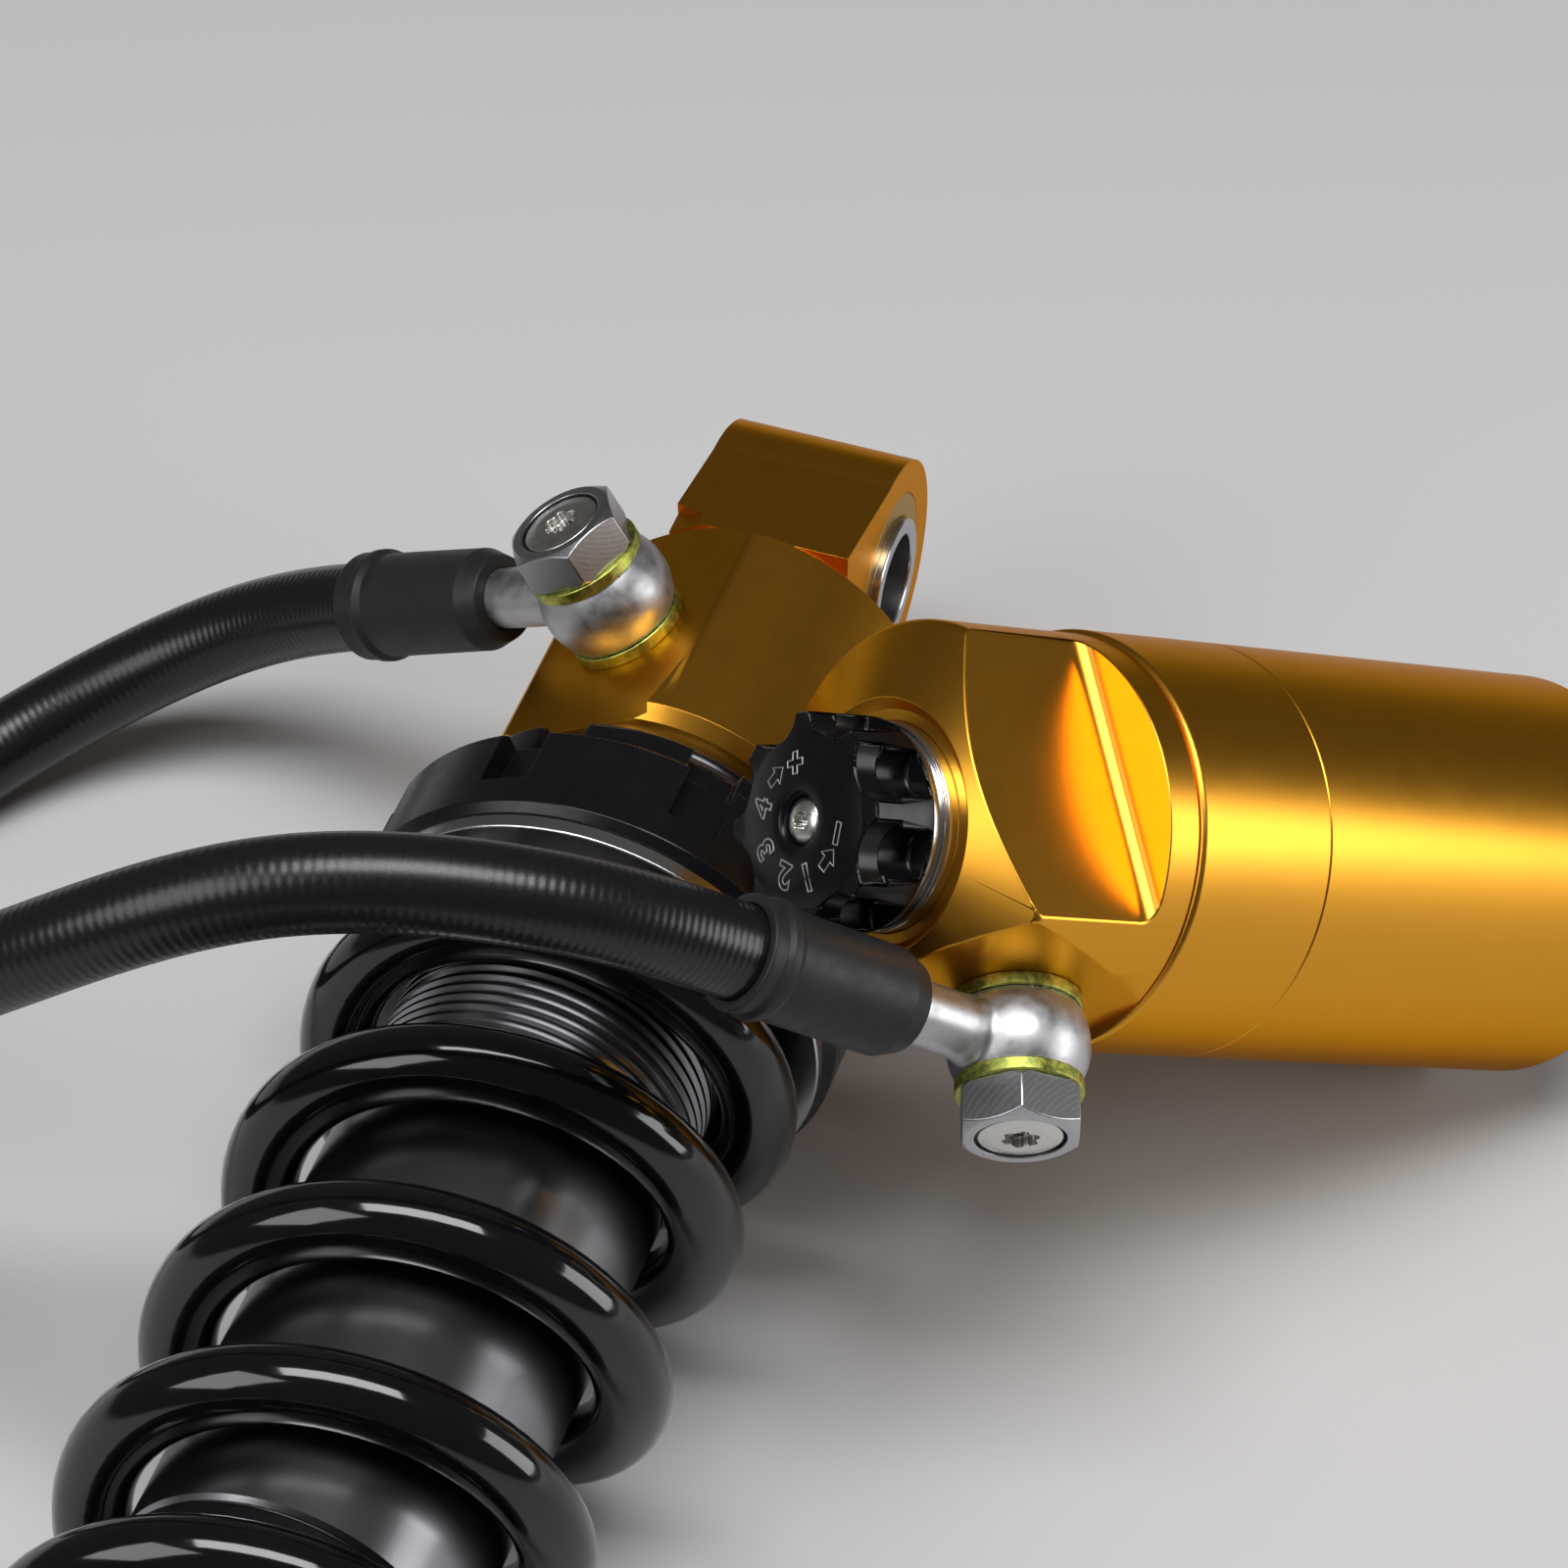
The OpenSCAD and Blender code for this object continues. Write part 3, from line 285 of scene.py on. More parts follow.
def six_lobes(radius, low, high):
    """The tools that cut a six-lobe driver socket."""
    tools = [rod_bm(radius * 0.78, low, high, 24)]
    for i in range(6):
        lobe = rod_bm(radius * 0.3, low, high, 16)
        tools.append(moved(lobe, turn("Z", 60 * i) @ Matrix.Translation((radius * 0.7, 0, 0))))
    return tools


# %% [markdown]
# ## Materials
# Each finish is a small node tree. Patterns that follow a part's axis, such as turning marks, read
# Object coordinates through a Mapping node that carries them into the part's local frame. Then a
# ring of the pattern is a ring round the part.

# %% Node helpers
def new_material(name):
    """A node material, its node tree and its shader."""
    material = bpy.data.materials.new(name)
    material.use_nodes = True
    tree = material.node_tree
    return material, tree, tree.nodes["Principled BSDF"]


def local_coordinates(tree, place):
    """The socket of Object coordinates carried into a local frame, in metres."""
    inverse = place.inverted()
    coordinates = tree.nodes.new("ShaderNodeTexCoord")
    mapping = tree.nodes.new("ShaderNodeMapping")
    mapping.inputs["Rotation"].default_value = inverse.to_euler()
    mapping.inputs["Location"].default_value = inverse.translation
    tree.links.new(coordinates.outputs["Object"], mapping.inputs["Vector"])
    return mapping.outputs["Vector"]


def scaled(tree, vector, scale):
    """The socket of a vector times a scale on each axis."""
    node = tree.nodes.new("ShaderNodeVectorMath")
    node.operation = "MULTIPLY"
    node.inputs[1].default_value = scale
    tree.links.new(vector, node.inputs[0])
    return node.outputs["Vector"]


def noise(tree, vector, scale, detail=3.0, roughness=0.5):
    """The factor socket of a noise pattern."""
    node = tree.nodes.new("ShaderNodeTexNoise")
    node.inputs["Scale"].default_value = scale
    node.inputs["Detail"].default_value = detail
    node.inputs["Roughness"].default_value = roughness
    tree.links.new(vector, node.inputs["Vector"])
    return node.outputs["Fac"]


def spread(tree, factor, low, high):
    """The socket of a factor spread between two values."""
    node = tree.nodes.new("ShaderNodeMapRange")
    node.inputs["From Min"].default_value = 0.3
    node.inputs["From Max"].default_value = 0.7
    node.inputs["To Min"].default_value = low
    node.inputs["To Max"].default_value = high
    tree.links.new(factor, node.inputs["Value"])
    return node.outputs["Result"]


def between(tree, factor, first, second):
    """The colour socket of a blend between two colours."""
    node = tree.nodes.new("ShaderNodeMix")
    node.data_type = "RGBA"
    node.inputs["A"].default_value = (*first, 1)
    node.inputs["B"].default_value = (*second, 1)
    tree.links.new(factor, node.inputs["Factor"])
    return node.outputs["Result"]


def bump(tree, shader, height, distance, below=None):
    """Raises a shader's surface by a height socket, on top of another bump's normal."""
    node = tree.nodes.new("ShaderNodeBump")
    node.inputs["Strength"].default_value = 1.0
    node.inputs["Distance"].default_value = distance
    tree.links.new(height, node.inputs["Height"])
    if below:
        tree.links.new(below, node.inputs["Normal"])
    tree.links.new(node.outputs["Normal"], shader.inputs["Normal"])
    return node.outputs["Normal"]


# %% [markdown]
# ### Turned and anodised metal
# The reservoir and the shock's head are turned aluminium, blasted lightly and anodised gold. The
# lathe leaves fine rings across the axis, and the dye makes steep reflections browner. The rings
# are a noise pattern that is squeezed along the axis only, which is less regular than a wave.

# %% Metal finishes
def turned_metal(name, colour, place, roughness, ring_depth=1.0e-6, dark=0.95, rings=2400):
    """Metal with turning marks round a local frame's Z axis."""
    material, tree, shader = new_material(name)
    local = local_coordinates(tree, place)
    shader.inputs["Metallic"].default_value = 1.0
    shader.inputs["Specular Tint"].default_value = (*(0.35 + 0.65 * c for c in colour), 1)
    cloudy = noise(tree, local, 120)
    shade = tuple(c * dark for c in colour)
    tree.links.new(between(tree, cloudy, shade, colour), shader.inputs["Base Color"])
    tree.links.new(spread(tree, noise(tree, local, 300), roughness * 0.97, roughness * 1.04),
                   shader.inputs["Roughness"])
    lathe = noise(tree, scaled(tree, local, (0.02, 0.02, 1)), rings, detail=2)
    bump(tree, shader, lathe, ring_depth)
    return material


def blasted_metal(name, colour, place, roughness, grain=3200, depth=1.6e-6):
    """Metal with the even sparkle of bead blasting or of a cast skin."""
    material, tree, shader = new_material(name)
    local = local_coordinates(tree, place)
    shader.inputs["Metallic"].default_value = 1.0
    fleck = noise(tree, local, grain, detail=2)
    dull = tuple(c * 0.8 for c in colour)
    tree.links.new(between(tree, fleck, dull, colour), shader.inputs["Base Color"])
    tree.links.new(spread(tree, noise(tree, local, 700), roughness * 0.85, roughness * 1.2),
                   shader.inputs["Roughness"])
    bump(tree, shader, fleck, depth)
    return material


GOLD_COLOUR = (0.74, 0.345, 0.036)
gold_reservoir = turned_metal("gold_anodised_reservoir", GOLD_COLOUR, RESERVOIR, 0.3)
gold_shock = turned_metal("gold_anodised_shock", GOLD_COLOUR, SHOCK, 0.3)
bright_steel = turned_metal("turned_steel_shock", (0.62, 0.62, 0.63), SHOCK, 0.22)
ring_steel = turned_metal("turned_steel_reservoir", (0.66, 0.66, 0.67), RESERVOIR, 0.2)
chrome = turned_metal("hard_chrome", (0.82, 0.83, 0.85), SHOCK, 0.06, ring_depth=0.1e-6)
hard_coat = turned_metal("hard_coat", (0.30, 0.30, 0.32), SHOCK, 0.25)
bronze = turned_metal("bearing_bronze", (0.55, 0.38, 0.18), SHOCK, 0.35)
plain_aluminium = turned_metal("plain_aluminium", (0.75, 0.75, 0.77), RESERVOIR, 0.25)
fitting_silver = {
    place: blasted_metal("fitting_silver_" + place, (0.56, 0.56, 0.58), port, 0.42)
    for place, port in PORTS.items()
}
mark_silver = blasted_metal("mark_silver", (0.62, 0.62, 0.64), RESERVOIR, 0.5)
screw_steel = blasted_metal("screw_steel", (0.70, 0.69, 0.66), RESERVOIR, 0.28, grain=4000)

# %% [markdown]
# ### Black finishes
# Black anodising stays a metal's surface: low and even, with a soft sheen. The spring has a thick
# powder coat, which flows out like lacquer and keeps a slight orange peel. Rubber is rougher than
# both and takes a fine grain from its mould.

# %% Black finishes
def black_finish(name, colour, place, roughness, coat=0.0, grain=2600, depth=0.4e-6, sheen=0.5):
    """A dark non-metal finish with a fine grain and an optional clear coat."""
    material, tree, shader = new_material(name)
    local = local_coordinates(tree, place)
    lighter = tuple(c * 1.7 + 0.002 for c in colour)
    tree.links.new(between(tree, noise(tree, local, 260), colour, lighter),
                   shader.inputs["Base Color"])
    tree.links.new(spread(tree, noise(tree, local, 600), roughness * 0.9, roughness * 1.15),
                   shader.inputs["Roughness"])
    shader.inputs["Coat Weight"].default_value = coat
    shader.inputs["Coat Roughness"].default_value = 0.05
    shader.inputs["Specular IOR Level"].default_value = sheen
    bump(tree, shader, noise(tree, local, grain, detail=2), depth)
    return material


black_knob = black_finish("black_anodised_knob", (0.002, 0.002, 0.003), RESERVOIR, 0.24,
                           sheen=0.26)
black_shock = black_finish("black_anodised_shock", (0.003, 0.003, 0.004), SHOCK, 0.26, sheen=0.32)
spring_coat = black_finish("spring_powder_coat", (0.002, 0.002, 0.0025), SHOCK, 0.10,
                           coat=0.3, grain=700, depth=2e-6, sheen=0.45)
seal_rubber = black_finish("seal_rubber", (0.012, 0.012, 0.012), SHOCK, 0.55)
cover_rubber = black_finish("cover_rubber", (0.011, 0.011, 0.012), SHOCK, 0.46, grain=2400,
                            depth=4e-6, sheen=0.3)
bump_foam = black_finish("bump_foam", (0.55, 0.42, 0.12), SHOCK, 0.7, grain=2500, depth=8e-6)
cap_plastic = black_finish("cap_plastic", (0.02, 0.02, 0.02), RESERVOIR, 0.45)

# %% [markdown]
# ### Zinc plate and milled steel
# The sealing washers are zinc plated and passivated, which leaves yellow-green clouds with worn
# silver spots. The hex head is milled: each facet shows the sweep of the cutter as shallow arcs.

# %% Washer and hex finishes
def zinc_finish(name, place):
    """Cloudy yellow-green plating over metal."""
    material, tree, shader = new_material(name)
    local = local_coordinates(tree, place)
    shader.inputs["Metallic"].default_value = 1.0
    cloud = noise(tree, local, 1300, detail=6, roughness=0.7)
    ramp = tree.nodes.new("ShaderNodeValToRGB")
    ramp.color_ramp.elements[0].position = 0.35
    ramp.color_ramp.elements[0].color = (0.20, 0.26, 0.10, 1)
    ramp.color_ramp.elements[1].position = 0.68
    ramp.color_ramp.elements[1].color = (0.62, 0.60, 0.22, 1)
    middle = ramp.color_ramp.elements.new(0.5)
    middle.color = (0.42, 0.44, 0.07, 1)
    tree.links.new(cloud, ramp.inputs["Fac"])
    tree.links.new(ramp.outputs["Color"], shader.inputs["Base Color"])
    tree.links.new(spread(tree, cloud, 0.3, 0.5), shader.inputs["Roughness"])
    bump(tree, shader, cloud, 5e-6)
    return material


def milled_finish(name, place):
    """Steel with the arc-shaped marks of a face mill."""
    material, tree, shader = new_material(name)
    local = local_coordinates(tree, place)
    shader.inputs["Metallic"].default_value = 1.0
    sweep = tree.nodes.new("ShaderNodeTexWave")
    sweep.wave_type = "RINGS"
    sweep.rings_direction = "SPHERICAL"
    sweep.inputs["Scale"].default_value = 520
    sweep.inputs["Distortion"].default_value = 2.5
    sweep.inputs["Detail"].default_value = 2
    sweep.inputs["Detail Scale"].default_value = 1.5
    offset = tree.nodes.new("ShaderNodeVectorMath")
    offset.operation = "ADD"
    offset.inputs[1].default_value = (0.009, 0.006, -0.024)
    tree.links.new(local, offset.inputs[0])
    tree.links.new(offset.outputs["Vector"], sweep.inputs["Vector"])
    tree.links.new(between(tree, noise(tree, local, 800), (0.38, 0.39, 0.41), (0.50, 0.50, 0.52)),
                   shader.inputs["Base Color"])
    tree.links.new(spread(tree, sweep.outputs["Fac"], 0.29, 0.315), shader.inputs["Roughness"])
    bump(tree, shader, sweep.outputs["Fac"], 0.35e-6)
    return material


washer_zinc = {place: zinc_finish("washer_zinc_" + place, port)
               for place, port in PORTS.items()}
milled_hex = {place: milled_finish("milled_hex_" + place, port)
              for place, port in PORTS.items()}

# %% [markdown]
# ## The hose
# It leaves the reservoir's rubber sleeve, arches over the spring, swings down beside the shock and
# comes back to the shock's head. A few points draw it as one smooth curve, so that the bends stay
# as wide as a stiff hydraulic hose needs. Its line is worked out first, and a curve with a round
# bevel then makes the tube.

# %% The hose's line
EYE_MID = 5.7
SLEEVE_START = 16
SLEEVE_END = 38
HOSE_RADIUS = 5.25
HOSE_GRIP = 2
HOSE_PULL = 22
HOSE_STEPS = 16
HOSE_BENDS = [
    (-35, -27, 21), (-53, -44, 10), (-68, -52, -5), (-79, -51, -22),
    (-83, -39, -37), (-76, -18, -39), (-51, 0, -30),
]


def along_neck(port, distance):
    """A point on the line through a banjo's neck."""
    return port @ (Vector((distance, 0, EYE_MID)) * MM)


def hose_controls():
    """The points that draw the hose, from one sleeve to the other."""
    grip = SLEEVE_END - HOSE_GRIP
    start, stop = along_neck(RESERVOIR_PORT, SLEEVE_END), along_neck(SHOCK_PORT, SLEEVE_END)
    bends = [
        start.lerp(stop, (i + 1) / (len(HOSE_BENDS) + 1)) + Vector(bend) * MM
        for i, bend in enumerate(HOSE_BENDS)
    ]
    first = [along_neck(RESERVOIR_PORT, grip + d) for d in (-HOSE_PULL, 0, HOSE_PULL)]
    last = [along_neck(SHOCK_PORT, grip + d) for d in (HOSE_PULL, 0, -HOSE_PULL)]
    return first + bends + last


def smooth_line(points, steps):
    """A line of points on the even cubic curve that the given points draw."""
    line = []
    for i in range(len(points) - 3):
        a, b, c, d = points[i:i + 4]
        for k in range(steps + (i == len(points) - 4)):
            u = k / steps
            line.append((a * (1 - u) ** 3 + b * (3 * u ** 3 - 6 * u ** 2 + 4)
                         + c * (3 * u + 3 * u ** 2 - 3 * u ** 3 + 1) + d * u ** 3) / 6)
    return line


hose_line = smooth_line(hose_controls(), HOSE_STEPS)
hose_length = sum((b - a).length for a, b in zip(hose_line, hose_line[1:]))
print("hose", len(hose_line), "points,", round(hose_length * 1000), "mm")

# %% [markdown]
# The cover shows the wrap of its reinforcement as fine ribs round the hose. They follow the
# surface, so their pattern reads the tube's own UV map, where U runs from end to end.

# %% The hose's finish and tube
RIB_PITCH = 1.05


def hose_finish():
    """Black rubber with fine wrapped ribs along a tube's U coordinate."""
    material, tree, shader = new_material("hose_rubber")
    shader.inputs["Base Color"].default_value = (0.006, 0.006, 0.007, 1)
    coordinates = tree.nodes.new("ShaderNodeTexCoord")
    turns = hose_length / (RIB_PITCH * MM)
    wrapped = scaled(tree, coordinates.outputs["UV"], (turns * FULL_TURN / 20, 1, 1))
    ribs = tree.nodes.new("ShaderNodeTexWave")
    ribs.bands_direction = "X"
    ribs.inputs["Scale"].default_value = 1
    ribs.inputs["Distortion"].default_value = 0.4
    ribs.inputs["Detail"].default_value = 1
    tree.links.new(wrapped, ribs.inputs["Vector"])
    grain = noise(tree, coordinates.outputs["Object"], 2600, detail=3)
    tree.links.new(spread(tree, grain, 0.25, 0.32), shader.inputs["Roughness"])
    shader.inputs["Specular IOR Level"].default_value = 0.45
    below = bump(tree, shader, ribs.outputs["Fac"], 20e-6)
    bump(tree, shader, grain, 2e-6, below=below)
    return material


hose_rubber = hose_finish()


def curve_mesh(name, line, radius, resolution=6):
    """A round tube along a line of points in metres, as a mesh."""
    curve = bpy.data.curves.new(name, "CURVE")
    curve.dimensions = "3D"
    curve.bevel_depth = radius
    curve.bevel_resolution = resolution
    curve.use_fill_caps = True
    spline = curve.splines.new("POLY")
    spline.points.add(len(line) - 1)
    for point, place in zip(spline.points, line):
        point.co = (*place, 1)
    maker = bpy.data.objects.new(name, curve)
    bpy.context.collection.objects.link(maker)
    graph = bpy.context.evaluated_depsgraph_get()
    mesh = bpy.data.meshes.new_from_object(maker.evaluated_get(graph))
    bpy.data.objects.remove(maker)
    mesh.shade_smooth()
    return mesh


hose_mesh = curve_mesh("hose_tube", hose_line, HOSE_RADIUS * MM)
hose_mesh.materials.clear()
hose_mesh.materials.append(hose_rubber)
hose = bpy.data.objects.new("hose_tube", hose_mesh)
bpy.context.collection.objects.link(hose)
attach(hose, "root")
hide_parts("hose")
print("hose tube", len(hose_mesh.polygons), "faces")

# %% [markdown]
# ## Dressing the ready-made parts
# Machined parts have their edges broken, and a broken edge catches a thin line of light. A copy of
# each solid has its triangles merged into whole faces and gets a small Bevel, which leaves its
# sizes alone.

# %% Broken edges
def dressed(node, material, edge=0.25):
    """A merged copy of a ready-made part with its edges broken, in place of that part."""
    bm = bmesh.new()
    bm.from_mesh(nodes[node].data)
    bmesh.ops.remove_doubles(bm, verts=bm.verts, dist=1e-6)
    bmesh.ops.dissolve_limit(bm, angle_limit=math.radians(0.6), verts=bm.verts, edges=bm.edges)
    mesh = bpy.data.meshes.new(node + "_dressed")
    bm.to_mesh(mesh)
    bm.free()
    mesh.shade_smooth()
    mesh.set_sharp_from_angle(angle=math.radians(SMOOTH_ANGLE))
    mesh.materials.append(material)
    piece = bpy.data.objects.new(node + "_dressed", mesh)
    bpy.context.collection.objects.link(piece)
    break_edges(piece, edge)
    piece.modifiers["broken_edges"].use_clamp_overlap = True
    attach(piece, nodes[node]["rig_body"])
    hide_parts(node)
    return piece


# %% Dress the solids
MACHINED = {
    "shock_head": (gold_shock, "gold_anodised", 0.6),
    "lower_mount": (gold_shock, "gold_anodised", 0.5),
    "lock_ring": (black_shock, "black_anodised", 0.35),
    "preload_collar": (black_shock, "black_anodised", 0.35),
    "thrust_washer": (bright_steel, "steel", 0.2),
    "lower_seat": (black_shock, "black_anodised", 0.4),
    "seat_clip": (bright_steel, "steel", 0.15),
    "seal_head": (black_shock, "black_anodised", 0.3),
    "rod_wiper": (seal_rubber, "seal_rubber", 0.2),
    "rod": (chrome, "hard_chrome", 0.2),
    "bump_stop": (bump_foam, "foam_yellow", 0.5),
    "bump_washer": (bright_steel, "steel", 0.2),
    "rebound_wheel": (black_shock, "black_anodised", 0.3),
    "upper_bush": (bronze, "bush_bronze", 0.2),
    "lower_bush": (bronze, "bush_bronze", 0.2),
    "upper_sleeve": (bright_steel, "steel", 0.3),
    "lower_sleeve": (bright_steel, "steel", 0.3),
    "reservoir_collar": (gold_reservoir, "gold_anodised", 0.15),
    "reservoir_tube": (gold_reservoir, "gold_anodised", 0.2),
    "end_cap": (black_knob, "black_anodised", 0.3),
    "end_circlip": (ring_steel, "steel", 0.15),
    "gas_valve": (ring_steel, "steel", 0.2),
    "valve_cap": (cap_plastic, "black_plastic", 0.15),
    "reservoir_washers": (washer_zinc["reservoir"], "washer_zinc", 0.15),
    "shock_washers": (washer_zinc["shock"], "washer_zinc", 0.15),
}
for node, (material, slot, edge) in MACHINED.items():
    dressed(node, material, edge)
print(len(MACHINED), "solids dressed")

# %% [markdown]
# ## The spring
# A coil spring is wound from round wire. Its end coils are wound close and ground flat, so that
# they sit square, and between them the pitch opens up smoothly. The wire's round section is spun
# a step at a time, and each step climbs by the pitch at that place.

# %% Wind the spring
WIRE_D = 8.5
COIL_R = 23.75
SPRING_S = 76
SPRING_LEN = 180
SPRING_PHASE = 200
CLOSED_TURNS = 0.85
ACTIVE_TURNS = 6.8
CLOSED_PITCH = 8.8
OPENING_TURNS = 0.3
GROUND = 1.2
WIRE_SIDES = 20
STEPS_A_TURN = 60
active_pitch = (SPRING_LEN - WIRE_D - 2 * CLOSED_TURNS * CLOSED_PITCH) / ACTIVE_TURNS
end_pitch = CLOSED_PITCH + GROUND / CLOSED_TURNS


def pitch_at(turns):
    """The coil's climb per turn, which opens up between the end coils."""
    all_turns = 2 * CLOSED_TURNS + ACTIVE_TURNS
    into = min(turns, all_turns - turns) - CLOSED_TURNS
    share = min(max(0.5 + into / OPENING_TURNS, 0), 1)
    return end_pitch + (active_pitch - end_pitch) * share


def wound_spring():
    """The whole coil, with both ends ground flat."""
    bm = bmesh.new()
    start = (turn("Z", SPRING_PHASE) @ Matrix.Translation((COIL_R, 0, WIRE_D / 2 - GROUND))
             @ turn("X", 90))
    bmesh.ops.create_circle(bm, cap_ends=True, radius=WIRE_D / 2, segments=WIRE_SIDES,
                            matrix=start)
    ring = list(bm.edges)
    steps = round((2 * CLOSED_TURNS + ACTIVE_TURNS) * STEPS_A_TURN)
    for i in range(steps):
        climb = pitch_at((i + 0.5) / STEPS_A_TURN) / STEPS_A_TURN
        spin = bmesh.ops.spin(
            bm, geom=ring + list({v for e in ring for v in e.verts}), cent=(0, 0, 0),
            axis=(0, 0, 1), dvec=(0, 0, climb), angle=FULL_TURN / STEPS_A_TURN, steps=1,
        )
        ring = [item for item in spin["geom_last"] if isinstance(item, bmesh.types.BMEdge)]
    bmesh.ops.edgeloop_fill(bm, edges=ring)
    bmesh.ops.remove_doubles(bm, verts=bm.verts, dist=0.001)
    for height, side in ((0, -1), (SPRING_LEN, 1)):
        bmesh.ops.bisect_plane(
            bm, geom=list(bm.verts) + list(bm.edges) + list(bm.faces), dist=0.001,
            plane_co=(0, 0, height), plane_no=(0, 0, side), clear_outer=True,
        )
        bmesh.ops.holes_fill(bm, edges=[e for e in bm.edges if e.is_boundary], sides=0)
    return bm


spring = make_piece("coil_spring", wound_spring(), SHOCK @ shift(0, 0, SPRING_S), spring_coat,
                    "root", ["spring"])
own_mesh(spring)

# %% [markdown]
# ## The body's thread
# The body tube is hard anodised. The preload collar and its lock ring run on a fine thread near
# the head, which shows as close rings between the coils.

# %% Turn the body tube
BODY_R = 18.5
BODY_BORE_R = 16.5
BODY_TOP = 39
BODY_END = 165
THREAD_START = 50.5
THREADS = 34
THREAD_PITCH = 1.5
THREAD_DEPTH = 0.55
thread_line = []
for i in range(THREADS):
    crest = THREAD_START + i * THREAD_PITCH
    thread_line += [(BODY_R, crest), (BODY_R - THREAD_DEPTH, crest + 0.4),
                    (BODY_R - THREAD_DEPTH, crest + 0.6), (BODY_R, crest + 1)]
body_line = [(BODY_BORE_R, BODY_TOP), (BODY_R, BODY_TOP), *thread_line,
             (BODY_R, BODY_END - 0.5), (BODY_R - 0.5, BODY_END), (BODY_BORE_R, BODY_END)]
make_piece("threaded_body", spun(body_line, closed=True), SHOCK, hard_coat, "root",
           ["body_tube"], crisp=FINE_ANGLE)

# %% [markdown]
# ## The adjuster's steel ring
# The knob turns on a steel ring that is pressed into the reservoir's head. Its side shows two
# fine turned grooves, and its face a narrow step.

# %% Turn the ring
RING_R = 11.3
RING_BORE_R = 9.15
RING_SEAT = -3.5
ring_line = filleted([
    (RING_BORE_R, RING_SEAT, 0), (RING_R, RING_SEAT, 0), (RING_R, 0.1, 0), (RING_R - 0.08, 0.2, 0),
    (RING_R, 0.3, 0), (RING_R, 0.5, 0), (RING_R - 0.08, 0.58, 0), (RING_R, 0.66, 0),
    (RING_R, 0.9, 0.12), (RING_R - 0.4, 0.9, 0), (RING_R - 0.4, 2.1, 0.2), (RING_BORE_R, 2.1, 0.15),
], steps=3)
make_piece("steel_ring", spun(ring_line, 128, closed=True), RESERVOIR, ring_steel, "root",
           ["adjuster_ring"], crisp=FINE_ANGLE)

# %% [markdown]
# ## The compression knob
# The knob is turned from bar, and a ball-nosed cutter then mills a flute between each pair of
# ribs. A second pass makes wider scallops in its front, so that the lobes end in narrow tips. Its
# face is domed, and a small screw holds it from the front.

# %% Mill the knob
KNOB_R = 11.6
KNOB_TOP = 10.6
DOME_RISE = 0.8
DOME_START = 3.2
DOME_END = 9.6
LOBES = 8
SCALLOP_R = 4.3
SCALLOP_DEPTH = 2.3
SCALLOP_START = 7.2
FLUTE_R = 2.8
FLUTE_DEPTH = 3.1


def dome(radius):
    """The height of the knob's face at a radius."""
    fall = min(max((radius - DOME_START) / (DOME_END - DOME_START), 0), 1)
    return KNOB_TOP + DOME_RISE * (1 - fall * fall)


knob_line = filleted([
    (1.5, -1.9, 0), (9, -1.9, 0.2), (9, 2.3, 0), (KNOB_R, 2.3, 0.45), (KNOB_R, KNOB_TOP, 0.35),
    (DOME_END, KNOB_TOP, 0),
], steps=5)
knob_line += [(r, dome(r)) for r in (9.2, 8.6, 7.9, 7.1, 6.2, 5.2, 4.2, 3.3)]
knob_line += [(2.95, dome(2.95) - 0.1), (2.75, dome(2.75) - 0.4), (2.7, KNOB_TOP - 1.2),
              (1.5, KNOB_TOP - 1.2)]
knob_tools = []
for i in range(LOBES):
    pass_turn = turn("Z", (i + 0.5) * 360 / LOBES)
    wide = rod_bm(SCALLOP_R, SCALLOP_START, 14, 96)
    knob_tools.append(moved(wide, pass_turn @ Matrix.Translation(
        (KNOB_R + SCALLOP_R - SCALLOP_DEPTH, 0, 0))))
    flute = spun(filleted([(0, 2.9, 0), (FLUTE_R, 2.9, 0.5), (FLUTE_R, 7.6, 0.5),
                           (0, 7.6, 0)], 5), 64, closed=True)
    knob_tools.append(moved(flute, pass_turn @ Matrix.Translation(
        (KNOB_R + FLUTE_R - FLUTE_DEPTH, 0, 0))))
knob_bm = carved(spun(knob_line, 144, closed=True), knob_tools)
make_piece("damping_knob", knob_bm, RESERVOIR, black_knob, "comp_knob", ["comp_knob"],
           edge=0.22)

# %% [markdown]
# The face is marked by laser, which burns the black away in thin bright outlines: plain numbers
# between two arrows, with a minus and a plus for softer and harder.

# %% Mark the knob's face
MARK_R = 6.2
MARK_HEIGHT = 2.7
MARK_LINE = 0.1
MARK_BOLD = 0.13
PLUS = [(-0.35, -1.2), (0.35, -1.2), (0.35, -0.35), (1.2, -0.35), (1.2, 0.35), (0.35, 0.35),
        (0.35, 1.2), (-0.35, 1.2), (-0.35, 0.35), (-1.2, 0.35), (-1.2, -0.35), (-0.35, -0.35)]
MINUS = [(-1.2, -0.32), (1.2, -0.32), (1.2, 0.32), (-1.2, 0.32)]
ARROW = [(-1.3, -0.5), (0.1, -0.5), (0.1, -1.15), (1.45, 0), (0.1, 1.15), (0.1, 0.5),
         (-1.3, 0.5)]
MARKS = [(117, MINUS, 0), (88, ARROW, 180), (54, "1", 0), (20, "2", 0), (-21, "3", 0),
         (-63, "4", 0), (-99, ARROW, 0), (-130, PLUS, 0)]


